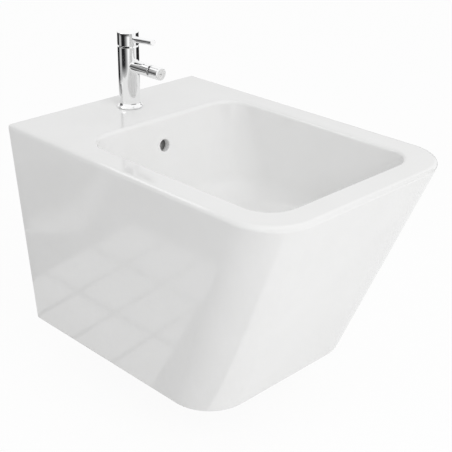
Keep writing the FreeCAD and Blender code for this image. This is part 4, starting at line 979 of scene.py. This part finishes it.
# %% Mats beside the casting
PANEL_MAT = [(-0.165, 0.14), (-0.38, 0.69), (-0.55, 0.6), (-0.69, 0.43), (-0.9, 0.2), (-0.9, -0.62),
             (-0.165, -0.62)]
PANEL_SHADES = [1.0] * len(PANEL_MAT)
CORNER_MAT = [(-0.9, -0.62), (-0.165, -0.62), (-0.165, -0.86), (-0.9, -0.86)]
CORNER_SHADES = [1.0, 1.0, 0.0, 0.0]
side_mats = (("panel_mat", PANEL_MAT, PANEL_SHADES), ("corner_mat", CORNER_MAT, CORNER_SHADES))
for name, outline, shades in side_mats:
    mat = stage_sheet(name, outline, MAT_LEVEL, felt)
    mat.data.attributes.new("shade", "FLOAT", "POINT").data.foreach_set("value", shades)
    only_in_reflections(mat)

# %% [markdown]
# ## Window light
# The side panel of the real one mirrors a window: three rows of four panes. They are faint, because glaze
# throws back only a few hundredths of the light. Here the panes lie on the floor beside the bidet, and only
# reflections see them. The bars between them glow too, but less, so that they stay as soft as the real ones.
# The end nearest the front is cut at a slant, because the rounded corner would stretch it.

# %% Window light
PANE_COLUMNS = (-0.510, -0.403, -0.296, -0.189)
PANE_ROWS = (0.200, 0.098, -0.004, -0.104, -0.208)
PANE_JOINT = 0.005
WINDOW_SLANT = 0.5
PANE_LIGHT, BAR_LIGHT = 0.60, 0.13
PANE_LIFT, BAR_LIFT = 4 * MM, 3 * MM


def make_glow(name, light):
    """A finish that only glows."""
    material = bpy.data.materials.new(name)
    material.use_nodes = True
    tree = material.node_tree
    tree.nodes.remove(tree.nodes["Principled BSDF"])
    glow = tree.nodes.new("ShaderNodeEmission")
    glow.inputs["Strength"].default_value = light
    tree.links.new(glow.outputs[0], tree.nodes["Material Output"].inputs["Surface"])
    return material


def window_part(name, columns, rows, height, finish):
    """A glowing part of the window, between two columns and two rows, seen only in reflections."""
    near_row, far_row = rows
    outline = [(x, near_row) for x in columns]
    for x in reversed(columns):
        outline.append((x, max(far_row, PANE_ROWS[-1] + WINDOW_SLANT * (PANE_COLUMNS[-1] - x))))
    only_in_reflections(stage_sheet(name, outline, FLOOR_LEVEL + height, finish))


pane_finish = make_glow("window_pane", PANE_LIGHT)
for column, (left, right) in enumerate(zip(PANE_COLUMNS, PANE_COLUMNS[1:])):
    for row, (near_row, far_row) in enumerate(zip(PANE_ROWS, PANE_ROWS[1:])):
        window_part(f"pane_{column}_{row}", (left + PANE_JOINT, right - PANE_JOINT),
                    (near_row - PANE_JOINT, far_row + PANE_JOINT), PANE_LIFT, pane_finish)
window_part("window_bars", (PANE_COLUMNS[0], PANE_COLUMNS[-1]), (PANE_ROWS[0], PANE_ROWS[-1]), BAR_LIFT,
            make_glow("window_bar", BAR_LIGHT))
print("panes:", (len(PANE_COLUMNS) - 1) * (len(PANE_ROWS) - 1))

# %% [markdown]
# ## A card for the rim
# A thin bright line runs along the rounded left edge of the rim, where the glaze mirrors something brighter
# than the sky. One white card draws it. It lies level, high behind the left rear corner. It is close enough
# that the chrome, which sees it from another place, keeps its own look.

# %% Rim card
RIM_CARD = [(-0.13, 0.05), (-0.13, 0.40), (-0.75, 0.53), (-0.75, 0.25)]
CARD_Z = 0.65
CARD_LIGHT = 2.8
only_in_reflections(stage_sheet("rim_card", RIM_CARD, CARD_Z, make_glow("bright_card", CARD_LIGHT)))
print("card of", CARD_LIGHT, "times the sky, at", CARD_Z, "m")
